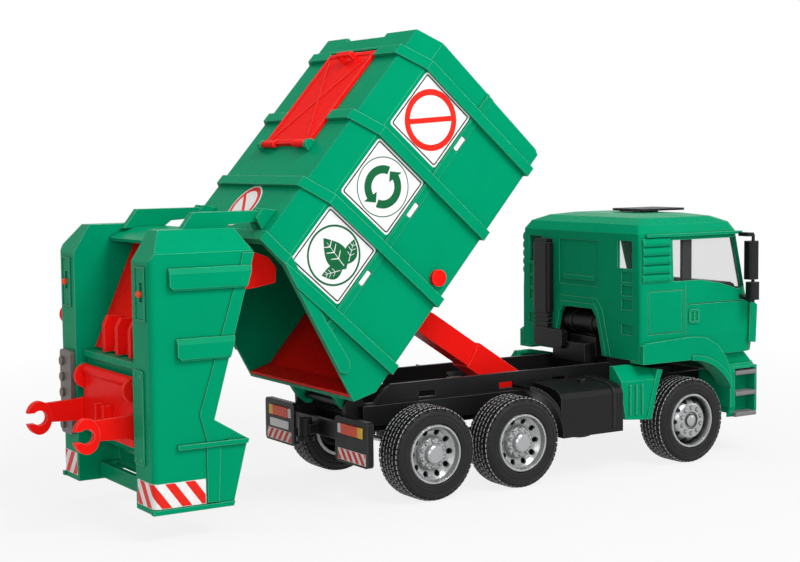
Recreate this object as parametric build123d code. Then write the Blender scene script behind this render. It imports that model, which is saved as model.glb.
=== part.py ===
from build123d import *
import math
import os

# Toy rear-loading garbage truck, about 1:16, with the box tipped up and the tailgate open.
# Millimetres, +X to the front, +Y to the left, +Z up, wheels on Z = 0.
# Lengths along X are counted from the rear axle until the export moves them to the middle.

# Wheels and axles
TYRE_R = 33.0
TYRE_W = 26.0
RIM_R = 21.0
WHEEL_FACE = 78.0
ROD_R = 2.0
BOGIE = 75.0
WHEELBASE = 237.0

# Frame
RAIL_OUT = 36.0
RAIL_T = 3.0
RAIL_TOP = 78.0
LEDGE_Z = 65.0
LEDGE_OUT = 42.0
RAIL_LOW = 46.0
RAIL_END = -45.0
PANEL_X = -53.0
PANEL_IN = 30.0
PANEL_OUT = 74.0
PANEL_LOW = 28.0
PANEL_TOP = 59.5

# Cab, placed by the share of its length that lies behind the front axle
CAB_LONG = 128.0
CAB_AXLE = 0.3828125
CAB_REAR = WHEELBASE - CAB_AXLE * CAB_LONG
CAB_FRONT = CAB_REAR + CAB_LONG
CAB_HALF = 74.0
CAB_LOW = 82.0
CAB_GUTTER = 178.0
ROOF_RISE = 13.5
CAB_TOP = CAB_GUTTER + ROOF_RISE
CAB_WALL = 2.4
CAB_HINGE_X = CAB_FRONT - 8
CAB_HINGE_Z = 80.0
ARCH_R = 46.5
BUMPER_FRONT = CAB_FRONT + 2

# Box, in its own frame: U runs along the floor to the front, V stands on it
TIP_ANGLE = 49.0
PIVOT_X = -41.5
PIVOT_Z = 66.0
BOX_LOW = 88.2
BOX_SEAM = 142.5
BOX_TOP = 214.5
BOX_FRONT = 241.0
BOX_HALF = 76.0
BOX_SHOULDER = 15.0
BOX_WALL = 2.4
RIB_W = 7.4
RIB_OUT = 2.8
RIB_UP = 3.0
REAR_LOW_U = 15.0
REAR_LOW_V = 98.0
REAR_LEAN = 20.2
HATCH_HINGE_U = 139.0
HATCH_HINGE_V = 217.4
HATCH_PIN = 1.2
HATCH_LONG = 85.0
HATCH_HALF = 31.0

# Tailgate, in the open pose
HINGE_U = 74.1
HINGE_V = 219.5
HINGE_Y = 45.0
GATE_LEAN = 4.2
GATE_GAP = 1.4
GATE_REAR = -210.0
GATE_LOW = 18.0
GATE_TOP = 194.0
GATE_HALF = 78.0
GATE_WALL = 2.4
LEG_IN = 50.0
LIFT_X = -206.5
LIFT_Z = 96.4
ARM_Y = 45.0
HOOK_X = -240.0
HOOK_Z = 66.0
HOOK_LONG = 8.6
HOOK_OUT = 11.3
HOOK_IN = 5.0
HOOK_GAP = 7.2

# Ram
RAM_X = CAB_REAR - 46
RAM_Z = 48.0
RAM_PIN_U = 108.0
RAM_PIN_V = 81.0
BARREL_LONG = 75.0
BARREL_H = 20.6
BARREL_W = 20.0
RAM_ROD_H = 18.0
RAM_ROD_W = 17.2
ROD_GRIP = 10.0
ROD_END_R = 4.4
PIN_R = 3.0
FIT = 0.1
SEAT = 0.3


def solid_of(points, shift):
    return Solid.extrude(Face(Wire.make_polygon([Vector(*p) for p in points], close=True)), Vector(*shift))


def slab(points, y0, y1):
    """A side outline of (x, z) points, as thick as y0 to y1."""
    return Part() + solid_of([(x, y0, z) for x, z in points], (0, y1 - y0, 0))


def bar(points, x0, x1):
    """A cross-section of (y, z) points, as long as x0 to x1."""
    return Part() + solid_of([(x0, y, z) for y, z in points], (x1 - x0, 0, 0))


def plate(points, z0, z1):
    """A plan of (x, y) points, as high as z0 to z1."""
    return Part() + solid_of([(x, y, z0) for x, y in points], (0, 0, z1 - z0))


def block(x0, x1, y0, y1, z0, z1):
    return Part() + Pos((x0 + x1) / 2, (y0 + y1) / 2, (z0 + z1) / 2) * Box(x1 - x0, y1 - y0, z1 - z0)


def rod_y(x, z, r, y0, y1):
    return Part() + Pos(x, (y0 + y1) / 2, z) * Rot(90, 0, 0) * Cylinder(r, y1 - y0)


def rod_x(y, z, r, x0, x1):
    return Part() + Pos((x0 + x1) / 2, y, z) * Rot(0, 90, 0) * Cylinder(r, x1 - x0)


def rod_z(x, y, r, z0, z1):
    return Part() + Pos(x, y, (z0 + z1) / 2) * Cylinder(r, z1 - z0)


def other_side(shape):
    return shape.mirror(Plane.XZ)


def both(shape):
    """The shape and its mirror image on the other side."""
    return Part() + [shape, other_side(shape)]


def rounded(shape, r, axis, keep=None):
    """The shape with its edges along one axis rounded, all of them or those that keep picks."""
    edges = shape.edges().filter_by(axis)
    if keep:
        edges = [e for e in edges if keep(e.center())]
    return Part() + fillet(edges, r)


def strip(path, thick, y0, y1):
    """A bent plate: a path of (x, z) points given a thickness on its right-hand side."""
    offset = []
    for i, (x, z) in enumerate(path):
        before = path[max(i - 1, 0)]
        after = path[min(i + 1, len(path) - 1)]
        first = (x - before[0], z - before[1]) if i else (after[0] - x, after[1] - z)
        second = (after[0] - x, after[1] - z) if i < len(path) - 1 else first
        a = math.atan2(first[1], first[0])
        turn = math.atan2(second[1], second[0]) - a
        turn = (turn + math.pi) % (2 * math.pi) - math.pi
        reach = thick / math.cos(turn / 2)
        offset.append((x + reach * math.sin(a + turn / 2), z - reach * math.cos(a + turn / 2)))
    return slab(path + offset[::-1], y0, y1)


def spin_y(points):
    """A body of revolution about Y from (radius, y) points."""
    face = Face(Wire.make_polygon([Vector(r, y, 0) for r, y in points], close=True))
    return Part() + revolve(face, Axis.Y, 360)


def around(shape, count, x=0.0, z=0.0):
    axis = Axis((x, 0, z), (0, 1, 0))
    return [shape.rotate(axis, 360.0 * i / count) for i in range(count)]


def outline(x0, x1, half, r_front, r_rear, z):
    """A closed plan outline with rounded corners at one height."""
    f = r_front * (1 - math.sqrt(0.5))
    r = r_rear * (1 - math.sqrt(0.5))
    edges = [
        Edge.make_line((x0 + r_rear, -half, z), (x1 - r_front, -half, z)),
        Edge.make_three_point_arc((x1 - r_front, -half, z), (x1 - f, -half + f, z), (x1, -half + r_front, z)),
        Edge.make_line((x1, -half + r_front, z), (x1, half - r_front, z)),
        Edge.make_three_point_arc((x1, half - r_front, z), (x1 - f, half - f, z), (x1 - r_front, half, z)),
        Edge.make_line((x1 - r_front, half, z), (x0 + r_rear, half, z)),
        Edge.make_three_point_arc((x0 + r_rear, half, z), (x0 + r, half - r, z), (x0, half - r_rear, z)),
        Edge.make_line((x0, half - r_rear, z), (x0, -half + r_rear, z)),
        Edge.make_three_point_arc((x0, -half + r_rear, z), (x0 + r, -half + r, z), (x0 + r_rear, -half, z)),
    ]
    return Wire(edges)


def hull(levels):
    """A body through plan outlines, each row: rear x, front x, half width, front and rear corner, z."""
    return Part() + Solid.make_loft([outline(*row) for row in levels], ruled=True)


def raised(shape):
    """From the box's own frame to the tipped pose."""
    return shape.rotate(Axis.Y, -TIP_ANGLE)


def raised_point(u, v):
    a = math.radians(TIP_ANGLE)
    return u * math.cos(a) - v * math.sin(a), u * math.sin(a) + v * math.cos(a)


HINGE_X, HINGE_Z = raised_point(HINGE_U, HINGE_V)


def opened_point(u, v):
    """A point of the shut tailgate, in the box's frame, moved to the open pose."""
    a = math.radians(GATE_LEAN)
    du = u - HINGE_U
    dv = v - HINGE_V
    return HINGE_X + du * math.cos(a) - dv * math.sin(a), HINGE_Z + du * math.sin(a) + dv * math.cos(a)


def box_rear(v):
    """Where the slanting rear edge of the box lies at height v."""
    return REAR_LOW_U + (v - REAR_LOW_V) * math.tan(math.radians(REAR_LEAN))


def along(share):
    """A place along the cab, as a share of its length from the rear."""
    return CAB_REAR + share * CAB_LONG


def up(share):
    """A height on the cab, as a share of the way from its lower edge to the gutter."""
    return CAB_LOW + share * (CAB_GUTTER - CAB_LOW)


AXLES = {"rear": 0.0, "middle": BOGIE, "front": WHEELBASE}
WHEEL_MID = WHEEL_FACE - TYRE_W / 2
parts = {}

# Tyres and rims, built at the origin with the outer face to +Y
half = TYRE_W / 2
tyre = spin_y([
    (RIM_R + 0.1, 1.5 - half), (RIM_R + 4, -half), (TYRE_R - 3.4, 0.5 - half), (TYRE_R - 0.9, 2.3 - half),
    (TYRE_R, 4.2 - half), (TYRE_R, half - 4.2), (TYRE_R - 0.9, half - 2.3), (TYRE_R - 3.4, half - 0.5),
    (RIM_R + 4, half), (RIM_R + 0.1, half - 1.5)])
rear_rim = spin_y([
    (0, 9), (ROD_R + FIT, 9), (ROD_R + FIT, -9), (7, -9), (7, 0.5), (11, 2.2), (15.5, 3.7), (RIM_R - 2.4, 6),
    (RIM_R - 2.4, 1.5 - half), (RIM_R, 1.5 - half), (RIM_R, half - 1.7), (RIM_R - 0.6, half - 0.4),
    (RIM_R - 1.7, half - 0.4), (RIM_R - 2.5, 8.6), (15.8, 6.0), (11.8, 4.8), (10.6, 8.2), (7.4, 8.8),
    (6.6, half - 1), (5.4, half - 0.1), (0, half - 0.1)])
rear_rim -= around(rod_y(15.0, 0, 2.1, 0, half), 10)
front_rim = spin_y([
    (0, 5), (ROD_R + FIT, 5), (ROD_R + FIT, -9), (6, -9), (6.5, 6.4), (11.6, 8.8), (15.6, 5.0), (RIM_R - 2.4, 0.6),
    (RIM_R - 2.4, 1.5 - half), (RIM_R, 1.5 - half), (RIM_R, half - 1.7), (RIM_R - 0.6, half - 0.4),
    (RIM_R - 1.7, half - 0.4), (RIM_R - 2.4, half - 2.4), (RIM_R - 2.6, 3.6), (16.8, 7.2), (13.2, 11.0), (12.4, 11.4),
    (6.9, 11.4), (6.4, 9.8), (4.7, 9.8), (4.2, 11.6), (2.4, 12.4), (0, 12.6)])
front_rim -= around(block(15.2, 18.0, -3, half, -2.2, 2.2), 10)
for name, x in AXLES.items():
    rim = front_rim if name == "front" else rear_rim
    place = Pos(x, WHEEL_MID, TYRE_R)
    parts[f"{name}_tyre_left"] = place * tyre
    parts[f"{name}_rim_left"] = place * rim
    parts[f"{name}_tyre_right"] = other_side(place * tyre)
    parts[f"{name}_rim_right"] = other_side(place * rim)
    reach = WHEEL_MID + (5.0 if name == "front" else 9.0) - SEAT
    parts[f"{name}_axle"] = rod_y(x, TYRE_R, ROD_R, -reach, reach)

# Chassis frame: two rails with a ledge, cross members, axle hangers and pivots
FRAME_FRONT = CAB_HINGE_X - 6
STEP_X = CAB_REAR + 8
rail_line = [
    (RAIL_END, RAIL_LOW), (RAIL_END - 3, RAIL_LOW + 8), (PIVOT_X - 7, PIVOT_Z), (PIVOT_X - 4, PIVOT_Z + 6),
    (PIVOT_X + 4, PIVOT_Z + 6), (PIVOT_X + 10, LEDGE_Z + 1), (-24, LEDGE_Z + 1), (-17, RAIL_TOP - 4),
    (-10, RAIL_TOP), (STEP_X, RAIL_TOP), (STEP_X, RAIL_TOP - 14), (FRAME_FRONT, RAIL_TOP - 14),
    (FRAME_FRONT, RAIL_LOW + 4), (STEP_X + 10, RAIL_LOW)]
rail = slab(rail_line, RAIL_OUT - RAIL_T, RAIL_OUT)
rail += block(RAIL_END + 8, STEP_X - 16, RAIL_OUT - 1, LEDGE_OUT, LEDGE_Z - 14, LEDGE_Z)
for x in [20, 91, CAB_REAR - 48]:
    rail -= block(x - 7, x + 7, RAIL_OUT - RAIL_T - 1, RAIL_OUT + 1, LEDGE_Z + 1.5, LEDGE_Z + 6)
for x in AXLES.values():
    rail += block(x - 8, x + 8, RAIL_OUT - 10, RAIL_OUT, TYRE_R - 6, RAIL_LOW + 4)
lug = slab([(CAB_HINGE_X - 12, RAIL_LOW + 4), (CAB_HINGE_X + 2, RAIL_LOW + 4), (CAB_HINGE_X + 4, CAB_HINGE_Z),
            (CAB_HINGE_X, CAB_HINGE_Z + 4), (CAB_HINGE_X - 4, CAB_HINGE_Z)], RAIL_OUT - 6, RAIL_OUT)
rail += lug
rail += slab([(RAM_X - 6, RAM_Z - 6), (RAM_X + 6, RAM_Z - 6), (RAM_X + 16, RAIL_LOW), (RAM_X + 16, RAIL_LOW + 16),
              (RAM_X + 6, RAM_Z + 7), (RAM_X - 6, RAM_Z + 6)], BARREL_W / 2 + 0.8, BARREL_W / 2 + 4)
frame = both(rail)
inner = RAIL_OUT - RAIL_T + 0.5
CROSS = [
    # x0, x1, z0, z1
    (-32.0, -24.0, RAIL_LOW, RAIL_LOW + 9),
    (14.0, 22.0, RAIL_LOW, RAIL_LOW + 10),
    (RAM_X + 11, RAM_X + 17, RAIL_LOW, RAIL_LOW + 18),
    (STEP_X - 8, STEP_X - 4, RAIL_LOW, RAIL_TOP - 3),
    (WHEELBASE - 5, WHEELBASE + 5, RAIL_LOW + 2, RAIL_LOW + 8),
    (FRAME_FRONT - 6, FRAME_FRONT, RAIL_LOW + 4, RAIL_LOW + 17),
]
for x0, x1, z0, z1 in CROSS:
    frame += block(x0, x1, -inner, inner, z0, z1)
frame += block(RAIL_END + 2, 40, -inner, inner, RAIL_LOW, RAIL_LOW + 2.4)
frame += block(RAM_X + 14, STEP_X, -inner, inner, RAIL_LOW, RAIL_LOW + 2.4)
frame += rod_y(PIVOT_X, PIVOT_Z, PIN_R, -RAIL_OUT, RAIL_OUT)
frame += rod_y(RAM_X, RAM_Z, PIN_R, -BARREL_W / 2 - 4, BARREL_W / 2 + 4)
frame += rod_y(CAB_HINGE_X, CAB_HINGE_Z, 2.0, -RAIL_OUT, RAIL_OUT)
for x in AXLES.values():
    frame -= rod_y(x, TYRE_R, ROD_R + 0.1, -RAIL_OUT - 1, RAIL_OUT + 1)
parts["chassis_frame"] = frame

# Rear lamp beam with its two panels, lamps and coupling
panel = block(PANEL_X, PANEL_X + 4.5, PANEL_IN, PANEL_OUT, PANEL_LOW, PANEL_TOP)
panel = rounded(panel, 3, Axis.X)
LAMP_IN = PANEL_OUT - 35
LAMP_OUT = PANEL_OUT - 7
LAMP_SPLIT = LAMP_OUT - 6
lamp_z = (PANEL_TOP - 11.7, PANEL_TOP - 4.5)
panel -= block(PANEL_X - 1, PANEL_X + 1.2, LAMP_IN - 0.5, LAMP_OUT + 0.5, lamp_z[0] - 0.5, lamp_z[1] + 0.5)
panel += block(PANEL_X + 1, RAIL_END - 3.3, RAIL_OUT - 6, RAIL_OUT + 8, RAIL_LOW - 4, RAIL_LOW + 8)
beam = both(panel)
beam += block(PANEL_X + 1, RAIL_END - 3.3, -RAIL_OUT, RAIL_OUT, RAIL_LOW - 4, RAIL_LOW + 8)
parts["rear_lamp_beam"] = beam
parts["tail_lamps"] = both(block(PANEL_X - 0.8, PANEL_X + 0.9, LAMP_IN, LAMP_SPLIT, *lamp_z))
parts["turn_lamps"] = both(block(PANEL_X - 0.8, PANEL_X + 0.9, LAMP_SPLIT + 0.3, LAMP_OUT, *lamp_z))
TOW_X = PANEL_X - 7
tow = rod_z(TOW_X, 0, 5, RAIL_LOW - 8, RAIL_LOW + 8)
tow += block(TOW_X, PANEL_X + 0.7, -6, 6, RAIL_LOW - 3, RAIL_LOW + 4)
tow += rod_z(TOW_X, 0, 6.5, RAIL_LOW - 8, RAIL_LOW - 5)
tow -= rod_z(TOW_X, 0, 2, RAIL_LOW - 10, RAIL_LOW + 10)
parts["tow_coupling"] = tow

# Side tank on each side, with the mudguard arc that covers the middle wheel
TANK_REAR = BOGIE + 35.5
TANK_FRONT = CAB_REAR - 19
TANK_LOW = 32.0
TANK_TOP = 70.0
TANK_OUT = WHEEL_FACE - 2
TANK_IN = LEDGE_OUT + SEAT


def tank_section(grow, low):
    """The tank's cross-section with its rounded upper edge, made larger by grow on the outside."""
    y = TANK_OUT + grow
    z = TANK_TOP + grow
    return [(TANK_IN + 1 - grow, low), (y, low), (y, z - 9), (y - 2, z - 5.5), (y - 6, z - 3.2), (y - 14, z - 1.5),
            (TANK_IN + 1 - grow, z)]


tank = bar(tank_section(0, TANK_LOW), TANK_REAR, TANK_FRONT)
back = [(TANK_IN, TANK_LOW + 10), (TANK_IN + 4, TANK_LOW + 10), (TANK_IN + 4, TANK_TOP - 5), (TANK_IN, TANK_TOP - 5)]
tank += bar(back, TANK_REAR + 5, TANK_FRONT - 5)
guard = rod_y(BOGIE, TYRE_R, TYRE_R + 7.5, WHEEL_MID - 12, TANK_OUT - 0.6)
tank += guard & block(BOGIE + 8, BOGIE + 60, 0, WHEEL_FACE, TANK_LOW + 3, 90)
tank -= rod_y(BOGIE, TYRE_R, TYRE_R + 4.5, 0, WHEEL_FACE)
tank -= bar(tank_section(-2.4, TANK_LOW - 5), TANK_REAR + 7, TANK_FRONT - 2.4)
strap = bar(tank_section(0.7, TANK_LOW + 2), TANK_FRONT - 9.7, TANK_FRONT - 8.3)
tank += strap - bar(tank_section(-1.0, TANK_LOW), TANK_FRONT - 12, TANK_FRONT - 6)
tank += rod_z((TANK_REAR + TANK_FRONT) / 2 + 4, TANK_OUT - 18, 3, TANK_TOP - 3, TANK_TOP + 1.2)
parts["side_tank_left"] = tank
parts["side_tank_right"] = other_side(tank)

# Engine under the cab with the air tank that shows through the rear arch
ENGINE_LOW = RAIL_TOP - 13.7
engine = slab([(WHEELBASE - 39, ENGINE_LOW), (WHEELBASE + 25, ENGINE_LOW), (WHEELBASE + 25, 92), (WHEELBASE + 3, 100),
               (WHEELBASE - 31, 97), (WHEELBASE - 39, 92)], -23, 23)
engine += block(WHEELBASE - 45, WHEELBASE - 37, -16, 16, 80, 95)
engine += block(CAB_REAR - 4, WHEELBASE - 38, -12, 11, RAIL_TOP - 2.4, 90)
engine += block(CAB_REAR - 4, WHEELBASE - 38, 10, 28, RAIL_TOP - 2.4, CAB_LOW + 1.8)
AIR_X = WHEELBASE - 38
engine += rod_y(AIR_X, 105.5, 9, -21, 21)
engine += both(rod_y(AIR_X, 105.5, 9.8, 11, 13.5))
engine += block(AIR_X - 2, AIR_X + 4, -10, 10, 92, 99)
engine += block(WHEELBASE - 29, WHEELBASE + 15, -RAIL_OUT + 0.5, RAIL_OUT - 0.5, ENGINE_LOW, RAIL_TOP - 8)
parts["engine_block"] = engine

# Green ribbed skirt behind each front wheel
SKIRT_OUT = CAB_HALF - 2
SKIRT_REAR = WHEELBASE - 67
skirt_line = [(SKIRT_REAR + 1, 78.6), (SKIRT_REAR + 17, 78.6), (SKIRT_REAR + 41, 74), (SKIRT_REAR + 36, 60),
              (SKIRT_REAR + 30, 37), (SKIRT_REAR + 5, 39), (SKIRT_REAR + 1, 60)]
skirt_in = [(SKIRT_REAR + 4, 76), (SKIRT_REAR + 17, 76), (SKIRT_REAR + 38, 72), (SKIRT_REAR + 33.5, 60),
            (SKIRT_REAR + 28, 40), (SKIRT_REAR + 7.5, 41.5), (SKIRT_REAR + 4, 60)]


def skirt_slope(inward):
    """The corner that the sloping upper edge takes away, moved inward for the inside."""
    y = SKIRT_OUT - inward
    return bar([(y - 11, 80), (y + 1, 66.5), (SKIRT_OUT + 5, 66.5), (SKIRT_OUT + 5, 80)], SKIRT_REAR - 5, SKIRT_REAR + 50)


skirt = slab(skirt_line, SKIRT_OUT - 14, SKIRT_OUT) - skirt_slope(0)
skirt -= slab(skirt_in, SKIRT_OUT - 15, SKIRT_OUT - 2.2) - skirt_slope(3.2)
skirt += slab([(SKIRT_REAR + 41, 74), (SKIRT_REAR + 36, 60), (SKIRT_REAR + 30, 37), (SKIRT_REAR + 25.5, 37.4),
               (SKIRT_REAR + 31.5, 60), (SKIRT_REAR + 36, 75)], SKIRT_OUT - 14, SKIRT_OUT + 0.6)
skirt -= rod_y(WHEELBASE, TYRE_R, TYRE_R + 3, 0, 100)
for i in range(3):
    skirt += block(SKIRT_REAR + 8.2 + 6 * i, SKIRT_REAR + 9.8 + 6 * i, SKIRT_OUT - 1, SKIRT_OUT + 0.9, 42, 65)
skirt += block(SKIRT_REAR + 2, SKIRT_REAR + 6, LEDGE_OUT - 5, SKIRT_OUT - 5, 50, 62)
skirt -= block(SKIRT_REAR, STEP_X - 15.7, 0, LEDGE_OUT + SEAT, 40, 80)
parts["cab_skirts"] = both(skirt)

# Front bumper with the entry steps, and the lamps in it
BUMP_LOW = 31.0
BUMP_TOP = 73.0
BUMP_REAR = WHEELBASE + 42
WELL_IN = 66.0
WELL_FRONT = BUMPER_FRONT - 12
LAMP_LOW = BUMP_LOW + 17
bump = hull([(BUMP_REAR, BUMPER_FRONT - 3, 73, 18, 2, BUMP_LOW), (BUMP_REAR, BUMPER_FRONT, 76, 20, 2, BUMP_LOW + 8),
             (BUMP_REAR, BUMPER_FRONT, 76, 20, 2, BUMP_TOP - 6), (BUMP_REAR, BUMPER_FRONT - 4, 74, 18, 2, BUMP_TOP)])
bump_solid = bump
bump -= hull([(BUMP_REAR - 4, BUMPER_FRONT - 5.5, 70.5, 16, 2, BUMP_LOW - 1),
              (BUMP_REAR - 4, BUMPER_FRONT - 2.5, 73.5, 18, 2, BUMP_LOW + 8),
              (BUMP_REAR - 4, BUMPER_FRONT - 2.5, 73.5, 18, 2, BUMP_TOP - 6.5),
              (BUMP_REAR - 4, BUMPER_FRONT - 6, 71.5, 16, 2, BUMP_TOP - 2.4)])
bump += both(block(BUMP_REAR, BUMP_REAR + 2.4, 40, 75.5, BUMP_LOW + 8, BUMP_TOP - 7))
bump += both(block(BUMP_REAR + 1, WELL_FRONT + 2, WELL_IN - 2.4, 75, BUMP_LOW + 3, BUMP_TOP - 2.2))
bump -= both(block(BUMP_REAR + 4.5, WELL_FRONT, WELL_IN, 80, BUMP_LOW - 1, BUMP_TOP - 4))
bump += both(block(FRAME_FRONT + SEAT, BUMPER_FRONT - 1, 12, 20, RAIL_LOW + 4, RAIL_LOW + 12))
bump -= both(block(BUMPER_FRONT - 8, BUMPER_FRONT + 12, 44, 66, LAMP_LOW, LAMP_LOW + 12))
bump -= block(BUMP_REAR - 5, CAB_HINGE_X + 5, -RAIL_OUT - 4, RAIL_OUT + 4, BUMP_TOP - 10, BUMP_TOP + 5)
vent = block(BUMPER_FRONT - 8, BUMPER_FRONT + 12, -34, 34, BUMP_LOW + 9, BUMP_LOW + 23)
bump -= vent - block(BUMPER_FRONT - 8, BUMPER_FRONT + 12, -34, 34, BUMP_LOW + 14.5, BUMP_LOW + 17.5)
parts["front_bumper"] = bump
TREADS = [BUMP_LOW, BUMP_LOW + 16.5, BUMP_LOW + 33]
step = [rounded(block(BUMP_REAR + 4.8, WELL_FRONT - SEAT, WELL_IN + SEAT, 77, z, z + 3.4), 0.9, Axis.X) for z in TREADS]
parts["step_treads"] = both(Part() + step)
lamp = block(BUMPER_FRONT - 4.2, BUMPER_FRONT - 0.6, 44.3, 65.7, LAMP_LOW + 0.3, LAMP_LOW + 11.7)
parts["headlamps"] = both(lamp & bump_solid)

# Cab shell, lofted through plan outlines; the inside is the same shape one wall smaller
CAB_LEVELS = [
    # rear x, front x, half width, front corner, rear corner, z
    (CAB_REAR, CAB_FRONT - 2, CAB_HALF - 1, 20, 3, CAB_LOW),
    (CAB_REAR, CAB_FRONT, CAB_HALF, 20, 3, up(0.167)),
    (CAB_REAR, CAB_FRONT - 3, CAB_HALF, 20, 3, up(0.385)),
    (CAB_REAR, along(0.922), CAB_HALF, 18, 3, up(0.479)),
    (CAB_REAR, along(0.82), CAB_HALF - 2, 12, 3, CAB_GUTTER),
    (along(0.031), along(0.785), CAB_HALF - 5, 12, 5, CAB_GUTTER + 0.5 * ROOF_RISE),
    (along(0.11), along(0.703), CAB_HALF - 14, 12, 8, CAB_GUTTER + 0.84 * ROOF_RISE),
    (along(0.219), along(0.6), CAB_HALF - 30, 12, 8, CAB_TOP),
]
cab = hull(CAB_LEVELS)
room = []
for x0, x1, w, rf, rr, z in CAB_LEVELS:
    dz = -1.0 if z == CAB_LOW else (-CAB_WALL if z > CAB_GUTTER else 0.0)
    room.append((x0 + CAB_WALL, x1 - CAB_WALL, w - CAB_WALL, rf - 1.5, max(rr - 1.5, 1), z + dz))
cab -= hull(room)
window = [(along(0.258), up(0.615)), (along(0.258), up(0.943)), (along(0.785), up(0.943)), (along(0.852), up(0.604)),
          (along(0.858), up(0.54)), (along(0.78), up(0.521)), (along(0.656), up(0.573)), (along(0.484), up(0.615))]
cab -= both(slab(window, CAB_HALF - 10.5, CAB_HALF + 2))
cab -= both(block(CAB_REAR - 2, CAB_REAR + 6, 47, 64, up(0.724), up(0.943)))
cab -= slab([(CAB_FRONT - 26, up(0.958)), (CAB_FRONT - 15, up(0.521)), (CAB_FRONT, up(0.521)), (CAB_FRONT, up(0.958))], -60, 60)


def arch_line(grow, low):
    """The outline of the engine's opening in the rear wall, one side of it after the other."""
    side = [(31 + grow, low), (27 + grow, up(0.167)), (23 + 0.8 * grow, up(0.3125) + 0.7 * grow),
            (18 + 0.6 * grow, up(0.375) + grow)]
    return [(-y, z) for y, z in side] + side[::-1]


cab += bar(arch_line(8.5, CAB_LOW + 0.5), CAB_REAR - 0.8, CAB_REAR + 1)
cab += bar(arch_line(4, CAB_LOW + 0.5), CAB_REAR - 1.5, CAB_REAR + 1)
cab -= bar(arch_line(0, CAB_LOW - 3), CAB_REAR - 5, CAB_REAR + 8)
for low, high in [(0.62, 0.70), (0.51, 0.59), (0.40, 0.48), (0.20, 0.28)]:
    cab -= both(block(CAB_REAR - 2, CAB_REAR + 0.9, 52, 64, up(low), up(high)))
cab -= block(CAB_REAR - 2, CAB_REAR + 0.8, -24, 24, up(0.56), up(0.93))
cab += block(CAB_REAR - 0.1, CAB_REAR + 1.2, -19, 19, up(0.60), up(0.64))
LOUVRES = 5
louvre_step = 0.354 / LOUVRES
for i in range(LOUVRES):
    low = up(0.611 + louvre_step * i)
    tall = up(louvre_step) - CAB_LOW
    y = CAB_HALF - 0.6
    fin = bar([(y - 3, low), (y, low), (y + 1.3, low + 0.15 * tall), (y + 1.9, low + 0.4 * tall),
               (y + 1.7, low + 0.65 * tall), (y + 0.9, low + 0.87 * tall), (y, low + tall), (y - 3, low + tall)],
              along(0.015), along(0.225))
    cab += both(fin)
GROOVE = 0.5


def groove(x0, x1, z0, z1):
    """A shallow line in both side walls."""
    return both(block(x0, x1, CAB_HALF - GROOVE, CAB_HALF + 4, z0, z1))


for x in [along(0.06), along(0.325)]:
    cab -= groove(x - 0.3, x + 0.3, up(0.21), up(0.545))
for z in [up(0.21), up(0.545)]:
    cab -= groove(along(0.06), along(0.325), z - 0.3, z + 0.3)
cab -= groove(along(0.355) - 0.3, along(0.355) + 0.3, up(0.17), up(0.6))
cab -= groove(along(0.36), along(0.9), up(0.425) - 0.3, up(0.425) + 0.3)
deflector = slab([(CAB_FRONT - 17, up(0.08)), (CAB_FRONT - 10, up(0.07)), (CAB_FRONT - 8.5, up(0.38)),
                  (CAB_FRONT - 14, up(0.42)), (CAB_FRONT - 16, up(0.38))], CAB_HALF - 12, CAB_HALF + 1.6)
deflector -= slab([(CAB_FRONT - 30, 0), (CAB_FRONT, 0), (CAB_FRONT, 200), (CAB_FRONT - 30, 200)], 0, CAB_HALF - 4)
cab += both(deflector - hull(room))
flare_line = [(CAB_REAR, CAB_LOW - 2), (CAB_REAR, CAB_LOW + 12), (CAB_REAR + 4, CAB_LOW + 14), (WHEELBASE, CAB_LOW + 16),
              (WHEELBASE + 14, CAB_LOW + 14.5), (WHEELBASE + 27, CAB_LOW + 8), (WHEELBASE + 36, CAB_LOW - 2),
              (WHEELBASE + 41, CAB_LOW - 14), (WHEELBASE + 41, 47), (WHEELBASE + 30, 47)]
flare = slab(flare_line, CAB_HALF - 12, WHEEL_FACE - 1)
flare -= rod_y(WHEELBASE, TYRE_R, ARCH_R, 0, 100)
flare -= block(CAB_REAR - 5, WHEELBASE, 0, 100, 0, CAB_LOW - 2)
lip = slab(flare_line, WHEEL_FACE - 2, WHEEL_FACE + 0.2) & rod_y(WHEELBASE, TYRE_R, ARCH_R + 4, 0, 100)
lip -= rod_y(WHEELBASE, TYRE_R, ARCH_R, 0, 100)
flare += lip & block(WHEELBASE, WHEELBASE + 60, 0, 100, 40, 120)
flare -= hull([(x0 - SEAT, x1 + SEAT, w + SEAT, rf, rr, z - SEAT if z == CAB_LOW else z) for x0, x1, w, rf, rr, z in CAB_LEVELS])
parts["wheel_arches"] = both(flare)
handle = rounded(block(along(0.375), along(0.453), CAB_HALF - 1, CAB_HALF + 1.2, up(0.271), up(0.385)), 1.5, Axis.Y)
handle -= block(along(0.385), along(0.41), CAB_HALF + 0.4, CAB_HALF + 2, up(0.29), up(0.366))
handle -= block(along(0.418), along(0.443), CAB_HALF + 0.4, CAB_HALF + 2, up(0.29), up(0.366))
cab += both(handle)
cab += both(block(CAB_REAR + 6, along(0.81), CAB_HALF - 3, CAB_HALF + 0.6, CAB_GUTTER - 2.6, CAB_GUTTER - 0.4))
knuckle = rod_y(CAB_HINGE_X, CAB_HINGE_Z, 4, 10, RAIL_OUT - 6.4)
knuckle += slab([(CAB_HINGE_X - 3, CAB_HINGE_Z), (CAB_HINGE_X + 3, CAB_HINGE_Z), (CAB_FRONT - 1, CAB_LOW + 12),
                 (CAB_FRONT - 4, CAB_LOW + 14)], 10, RAIL_OUT - 6.4)
knuckle -= rod_y(CAB_HINGE_X, CAB_HINGE_Z, 2 + FIT, 0, RAIL_OUT)
cab += both(knuckle)
parts["cab_shell"] = cab

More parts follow.
